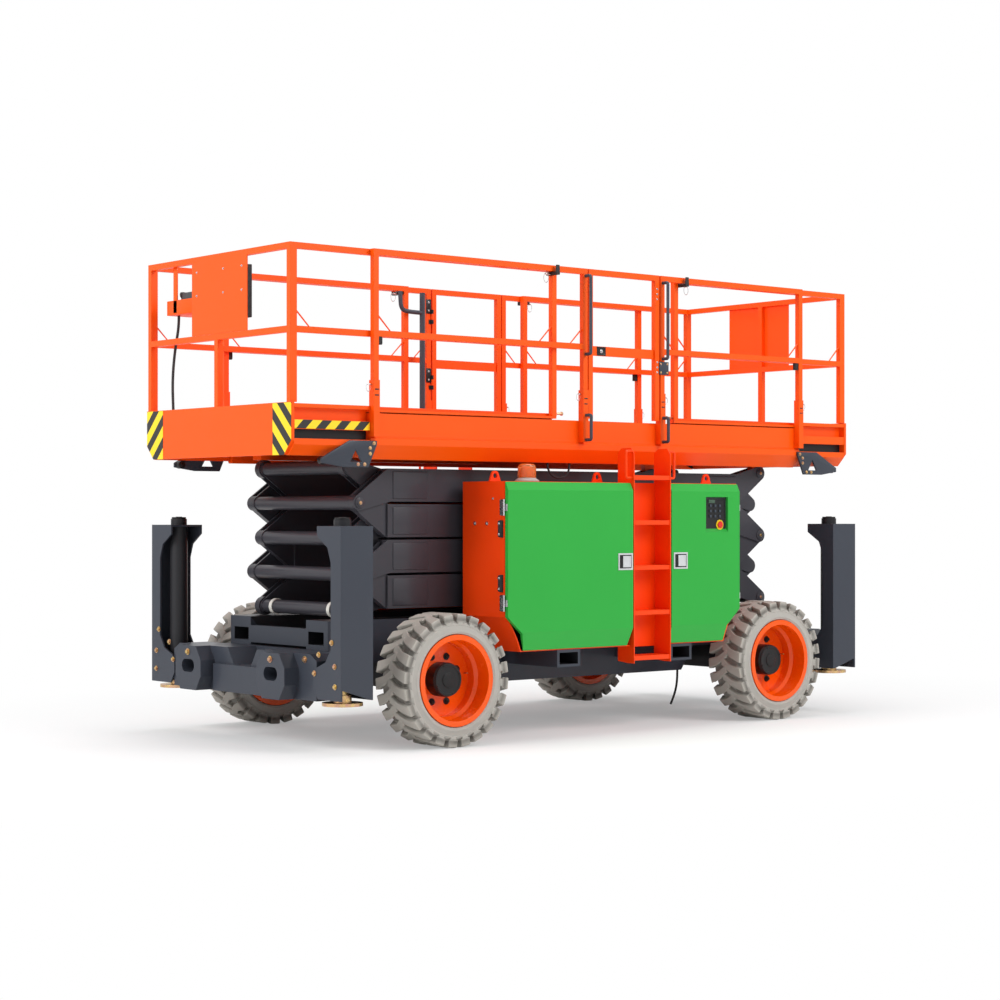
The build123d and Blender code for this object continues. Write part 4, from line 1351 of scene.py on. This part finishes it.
# %% Rail clips and pull pins
clip = box_between((-0.016, 0, 0), (0.016, 0.095, 0.020))
pick(clip, lambda spot, normal: normal.y > 0.9)
push(0, 0.012, 0)
shut()
pick(clip, lambda spot, normal: normal.z > 0.9 and spot.y > 0.094)
push(0, 0, 0.045)
bpy.ops.transform.resize(value=(0.8, 1, 1), center_override=(0, 0.1, 0.065))
shut()
clip_master = coat(soften(clip, 0.003), black_rubber)
pull = drum(0.008, 0, 0.050, 16)
pick(pull, on_top)
push(0, 0, 0.004)
bpy.ops.transform.resize(value=(1.7, 1.7, 1), center_override=(0, 0, 0.054))
push(0, 0, 0.010)
shut()
pull_master = coat(soften(pull, 0.0015), zinc_yellow)
for body, end in (("extension_left", -1), ("extension_right", 1)):
    x = inner_post[body] + end * tube / 2
    clips, pulls = [], []
    for side in (-1, 1):
        turn = Matrix(((side, 0, 0, x + end * 0.034), (0, side, 0, side * (slide_y - 0.010)),
                       (0, 0, 1, rail_top - 0.062), (0, 0, 0, 1)))
        clips.append(moved_copy(clip_master, turn))
        clip_pin = (x + end * 0.050, side * (slide_y + 0.030), rail_top - 0.055)
        clips += copies(pin_master, [(clip_pin, (end, 0, 0), 1.3)])
        pulls += copies(pull_master, [((x - end * tube / 2, side * slide_y, floor_z + 0.128), (-end, 0, 0))])
    settle(join(clips), "clips_" + body, body)
    settle(join(pulls), "pull_pins_" + body, body)
discard(clip_master, pull_master, pin_master)
print("clips", 4, "pull pins", 4)

# %% [markdown]
# ## Rail catches
# Small black catches sit on the end posts of the main deck, just under the mid rail's top. They could be copies
# of a master, but a box with a raised end is so short that each is made in its place.

# %% Rail catches
catches = []
for x, lean in ((deck_low[0] + tube, 1), (deck_high[0] - tube, -1)):
    for side in (-1, 1):
        catch = box_between((x, side * (main_y - 0.013), mid_top - 0.088),
                            (x + lean * 0.032, side * (main_y + 0.013), mid_top - 0.036))
        pick(catch, lambda spot, normal: normal.x * lean > 0.9)
        bpy.ops.mesh.inset(thickness=0.006)
        push(lean * 0.006, 0, 0)
        shut()
        catches.append(coat(soften(catch, 0.003), black_rubber))
settle(join(catches), "rail_catches", "platform")
print("catches", len(catches))

# %% [markdown]
# ## Grab bars
# Dark bent bars to hold on to: a long and a short one at each gate post, and an upright tube with a hooked
# branch that stands on the deck by the far gate. A bow handle has two feet and a straight grip. It could be bent
# with four points, but a point before and after each corner keeps the bends tight.

# %% Grab bars


def bow(x, y, outward, low, high, reach):
    # Gives the points of a bow handle that stands off from a wall, tall in Z
    step = 0.030
    points = [(0, low), (reach - step, low), (reach, low), (reach, low + step), (reach, high - step), (reach, high),
              (reach - step, high), (0, high)]
    return [(x + outward[0] * off, y + outward[1] * off, z) for off, z in points]


handles = []
for x in (gate_left - tube / 2, gate_right + tube / 2):
    for side in (-1, 1):
        for low, high, root in ((floor_z - 0.045, floor_z + 0.120, main_high[1]),
                                (mid_top - 0.069, rail_top - 0.050, rail_face)):
            handles.append(bent_bar(0.011, bow(x, side * root, (0, side), low, high, 0.052), handle_grey))
hook_x, hook_y, hook_low = -0.275, 0.750, rail_top - 0.190
handles.append(bent_bar(0.020, [(hook_x, hook_y, floor_z), (hook_x, hook_y, rail_top - 0.045)], handle_grey))
hook = [(hook_x, hook_y, hook_low), (hook_x - 0.10, hook_y, hook_low), (hook_x - 0.19, hook_y, hook_low + 0.01),
        (hook_x - 0.20, hook_y, hook_low + 0.10), (hook_x - 0.20, hook_y, rail_top - 0.045)]
handles.append(bent_bar(0.016, hook, handle_grey))
settle(join(handles), "grab_bars", "platform")
print("bars", len(handles))

# %% [markdown]
# ## Ladder loops
# Small orange loops stand at the tops of the ladders' stiles. They are the same bow as the grab bars, turned to
# stand off along X, so the helper is used again.

# %% Ladder loops
ladder_low, ladder_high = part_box("ladders")
loops = []
for side in (-1, 1):
    for x, out in ((ladder_low[0], -1), (ladder_high[0], 1)):
        points = bow(x, side * (side_y - 0.022), (out, 0), hood_top + 0.032, ladder_high[2] - 0.022, 0.050)
        loops.append(bent_bar(0.009, points, hood_orange))
settle(join(loops), "ladder_loops", "chassis")
print("loops", len(loops))

# %% [markdown]
# ## Gate fittings
# Each gate has a latch hole in its flat bar and six bolts through its hinge post. The hole could be cut, but
# the gate's solid stays whole, so a black plate with a sunk face stands for it as painted shade. The pieces
# swing with their gate.

# %% Gate fittings
bar_z = rail_top - 0.5475
for gate, side in (("gate_near", -1), ("gate_far", 1)):
    face_y = side * (rail_face - 0.016)
    middle = 0.010 if side < 0 else 0.410
    # A black plate with a sunk face: painted shade in the latch hole.
    latch_hole_shade = box_between((middle - 0.040, face_y, bar_z - 0.030),
                         (middle + 0.040, face_y + side * 0.003, bar_z + 0.030))
    pick(latch_hole_shade, lambda spot, normal: normal.y * side > 0.9)
    bpy.ops.mesh.inset(thickness=0.004)
    push(0, -side * 0.002, 0)
    shut()
    parts = [coat(soften(latch_hole_shade, 0.001), hub_black)]
    seats = [((middle, face_y + side * 0.001, bar_z), (0, side, 0), 0.9)]
    post_face = side * rail_face
    hinge_x = gate_right - 0.033 if side < 0 else gate_left + 0.033
    for drop in (0.095, 0.130, 0.165, 0.60, 0.635, 0.67):
        seats.append(((hinge_x, post_face, rail_top - drop), (0, side, 0), 0.5))
    settle(join([*parts, *steel_bolts(seats)]), "fittings_" + gate, gate)
print("gate fittings", 2)

# %% [markdown]
# ## Gate guards
# Beside each gate's hinge a grey guard plate covers the gap, and two black hinge leaves sit on the inner side
# of the post. They stay with the platform while the gate swings, so they are one piece on that body rather than
# part of the gate.

# %% Gate guards
guards = []
for side, middle in ((-1, gate_right + 0.026), (1, gate_left - 0.026)):
    post_face = side * rail_face
    guard = box_between((middle - 0.044, post_face, rail_top - 0.685),
                        (middle + 0.044, post_face + side * 0.008, rail_top - 0.595))
    guards.append(coat(soften(guard, 0.003), outrigger_grey))
    seats = [((middle + x, post_face + side * 0.007, rail_top - z), (0, side, 0), 0.5)
             for x in (-0.03, 0.03) for z in (0.61, 0.67)]
    guards += copies(gold_bolt, seats)
    for z in (0.130, 0.635):
        inside = post_face - side * tube
        middle_x = middle - 0.002 if side < 0 else middle + 0.002
        leaf = box_between((middle_x - 0.022, inside, rail_top - z - 0.052),
                           (middle_x + 0.022, inside - side * 0.007, rail_top - z + 0.052))
        guards.append(coat(soften(leaf, 0.002), hub_black))
        seats = [((middle_x, inside - side * 0.006, rail_top - z + up), (0, -side, 0), 0.5)
                 for up in (-0.03, 0.03)]
        guards += steel_bolts(seats)
settle(join(guards), "gate_guards", "platform")
print("guard shapes", len(guards))

# %% [markdown]
# ## Scissor pivots
# Every pivot of the outer arms has a pin with a cap and a bolt, and doubler plates are welded on the arms. A
# weld bead would be lost at this distance, so the plate's top is only a little smaller than its foot. They turn
# with their arms, so each pair of arms gets its own set.

# %% Pivot caps and doublers
pivot_cap = drum(0.036, 0, 0.007, 32)
dish(pivot_cap, (0.010, 0.005))
coat(soften(pivot_cap, 0.0015), arm_black)
pivot_master = join([pivot_cap, *copies(gold_bolt, [((0, 0, 0.011), (0, 0, 1), 0.8)])])
doubler = box_between((-0.14, -0.088, 0), (0.14, 0.088, 0.006))
pick(doubler, on_top)
bpy.ops.transform.resize(value=(0.985, 0.975, 1), center_override=(0, 0, 0))
shut()
doubler_master = coat(soften(doubler, 0.002), arm_black)
pivot_x, pivot_pitch, base_z = 1.82, 0.228, 0.845
for level in (1, 2, 3, 4):
    arm_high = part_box("outer_arms_%d" % level)[1]
    middle_z = base_z + (level - 0.5) * pivot_pitch
    low_end = pivot_x if level % 2 else -pivot_x
    shapes = []
    for side in (-1, 1):
        face_y = side * arm_high[1]
        spots = [(low_end, middle_z - pivot_pitch / 2), (0, middle_z)]
        if level == 4:
            spots.append((-low_end, middle_z + pivot_pitch / 2))
        shapes += copies(pivot_master, [((x, face_y, z), (0, side, 0)) for x, z in spots])
        for end in (-1, 1):
            place = Matrix.Translation((end * 1.42, face_y, middle_z))
            shapes.append(moved_copy(doubler_master, place @ Matrix.Rotation(-side * pi / 2, 4, "X")))
    settle(join(shapes), "pivots_outer_%d" % level, "outer_%d" % level)
discard(pivot_master, doubler_master)
print("pivot sets", 4)

# %% [markdown]
# ## Slide collars
# Two pale nylon collars sit on the tube at the foot of the inner arms. A torus would be round in section, and
# these are flat rings, so a drum is opened through both ends.

# %% Slide collars
collar = drum(0.053, -0.016, 0.016, 32)
open_through(collar, 0.007)
collar_master = coat(soften(collar, 0.002), nylon_white)
collars = copies(collar_master, [((-pivot_x, y, base_z), (0, 1, 0)) for y in (-0.33, 0.33)])
settle(join(collars), "slide_collars", "inner_1")
discard(collar_master)
print("collars", len(collars))

# %% [markdown]
# ## Jack caps
# A black cap closes the top of each jack tube. It could be a plain disc, but the real one has a rim and a
# raised middle, so a drum's top is inset and sunk, and inset and raised again.

# %% Jack caps
tube_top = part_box("jack_tubes")[1][2]
jack_cap = drum(0.048, 0, 0.012, 32)
dish(jack_cap, (0.014, -0.006), (0.012, 0.009))
cap_master = coat(soften(jack_cap, 0.0015), hub_black)
jack_seats = [((end * 2.195, side * 0.95, tube_top), (0, 0, 1)) for end, side in corners]
settle(join(copies(cap_master, jack_seats)), "jack_caps", "chassis")
discard(cap_master)
print("jack caps", len(jack_seats))

# %% [markdown]
# ## Platform control station
# At the left end the platform has an orange tray with a grey console, hung from the rail by a strap, and a
# black holder further along. Tray and holder are boxes without a lid. They could be built from sheets, but a box
# with its top inset and sunk has its walls and its floor at once.

# %% Tray, console and holder
tray_low, tray_high = (-2.462, 0.350, rail_top - 0.345), (-2.280, 0.660, rail_top - 0.250)
tray = box_between(tray_low, tray_high)
dish(tray, (0.010, -0.030))
coat(soften(tray, 0.003), platform_orange)
console = box_between((-2.452, 0.362, tray_low[2] + 0.040), (-2.290, 0.500, rail_top - 0.205))
pick(console, on_top)
bpy.ops.transform.resize(value=(0.9, 0.94, 1), center_override=(-2.37, 0.43, 0))
bpy.ops.mesh.inset(thickness=0.008)
push(0, 0, -0.004)
shut()
coat(soften(console, 0.004), grey_plastic)
strap = box_between((-2.462, 0.535, tray_low[2] + 0.010), (-2.452, 0.580, rail_top - 0.010))
pick(strap, on_top)
push(0.012, 0, 0.006)
shut()
coat(soften(strap, 0.002), platform_orange)
holder = box_between((-2.494, -0.366, rail_top - 0.425), (-2.466, -0.090, rail_top - 0.095))
dish(holder, (0.008, -0.060))
coat(soften(holder, 0.004), black_rubber)
print("tray", [round(v, 3) for v in (*tray_low, *tray_high)])

# %% [markdown]
# ## Joystick, stop button and keys
# The joystick stands in a pleated rubber boot, beside a stop button and a row of keys. The pleats could be a
# bump, but they show in the outline, so boot and grip are one drum drawn up in narrow and wide stages. The
# finished station replaces the plain box of the frame.

# %% Joystick, stop button and keys
top_z = rail_top - 0.280
stick = (-2.37, 0.610, top_z)
boot = drum(0.034, 0, 0.006, 24)
stack(boot, (0.74, 0.010), (0.95, 0.006), (0.66, 0.012), (0.9, 0.006), (0.75, 0.012),
      (1.8, 0.012), (1.1, 0.016), (0.8, 0.012))
coat(soften(boot, 0.001), black_rubber).data.transform(Matrix.Translation(stick))
knob = drum(0.013, 0.004, 0.018, 24)
stack(knob, (1.6, 0.004), (1.08, 0.005), (0.82, 0.005))
knob_master = join([coat(soften(knob, 0.001), stop_red), stop_ring])
top_stop = copies(knob_master, [((-2.36, 0.470, rail_top - 0.209), (0, 0, 1), 0.9)])
key = box_between((-0.008, -0.012, 0), (0.008, 0.012, 0.006))
pick(key, on_top)
bpy.ops.transform.resize(value=(0.75, 0.75, 1), center_override=(0, 0, 0))
shut()
key_master = coat(soften(key, 0.0012), nylon_white)
keys = copies(key_master, [((-2.40 + 0.030 * i, 0.400, rail_top - 0.209), (0, 0, 1)) for i in range(4)])
control = settle(join([tray, console, strap, holder, boot, *top_stop, *keys]), "control_station",
                 "extension_left")
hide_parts("control_box")
discard(key_master, knob_master, gold_bolt, black_nut)
print("control box top", round(top_z, 3))

# %% [markdown]
# ## Cables and the static strap
# Three cords: the control cable down to the deck, the cable loop under the deck, and the rubber strap that
# leads static charge to the ground. They could be simulated, but at rest their routes are known from the
# photograph. Each is one smooth line along the points of its route.

# %% Cords


def cord(name, body, radius, route, finish):
    line = spline_tube(name, radius, route)
    line.data.materials.append(finish)
    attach(line, body)


control_route = [(-2.400, 0.612, 2.760), (-2.400, 0.612, 2.690), (-2.403, 0.646, 2.570), (-2.412, 0.660, 2.440),
                 (-2.424, 0.652, 2.310), (-2.432, 0.632, 2.180), (-2.434, 0.622, 2.090), (-2.434, 0.622, 2.018)]
deck_route = [(-0.190, -0.762, 1.800), (-0.190, -0.762, 1.762), (-0.210, -0.764, 1.722), (-0.250, -0.766, 1.702),
              (-0.300, -0.766, 1.698), (-0.348, -0.766, 1.714), (-0.376, -0.764, 1.748), (-0.384, -0.762, 1.776),
              (-0.384, -0.762, 1.800)]
strap_route = [(1.050, -0.530, 0.340), (1.050, -0.530, 0.292), (1.044, -0.530, 0.238), (1.030, -0.530, 0.186),
               (1.008, -0.530, 0.138), (0.984, -0.530, 0.096)]
cord("control_line", "extension_left", 0.009, control_route, black_rubber)
cord("deck_line", "platform", 0.007, deck_route, black_rubber)
cord("ground_strap", "chassis", 0.008, strap_route, black_rubber)
print("cords", 3)

# %% [markdown] ## Size and finish The box of the finished machine is printed.

# %% Size and finish
low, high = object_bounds()
print("visual box", [round(v, 3) for v in (*low, *high)])
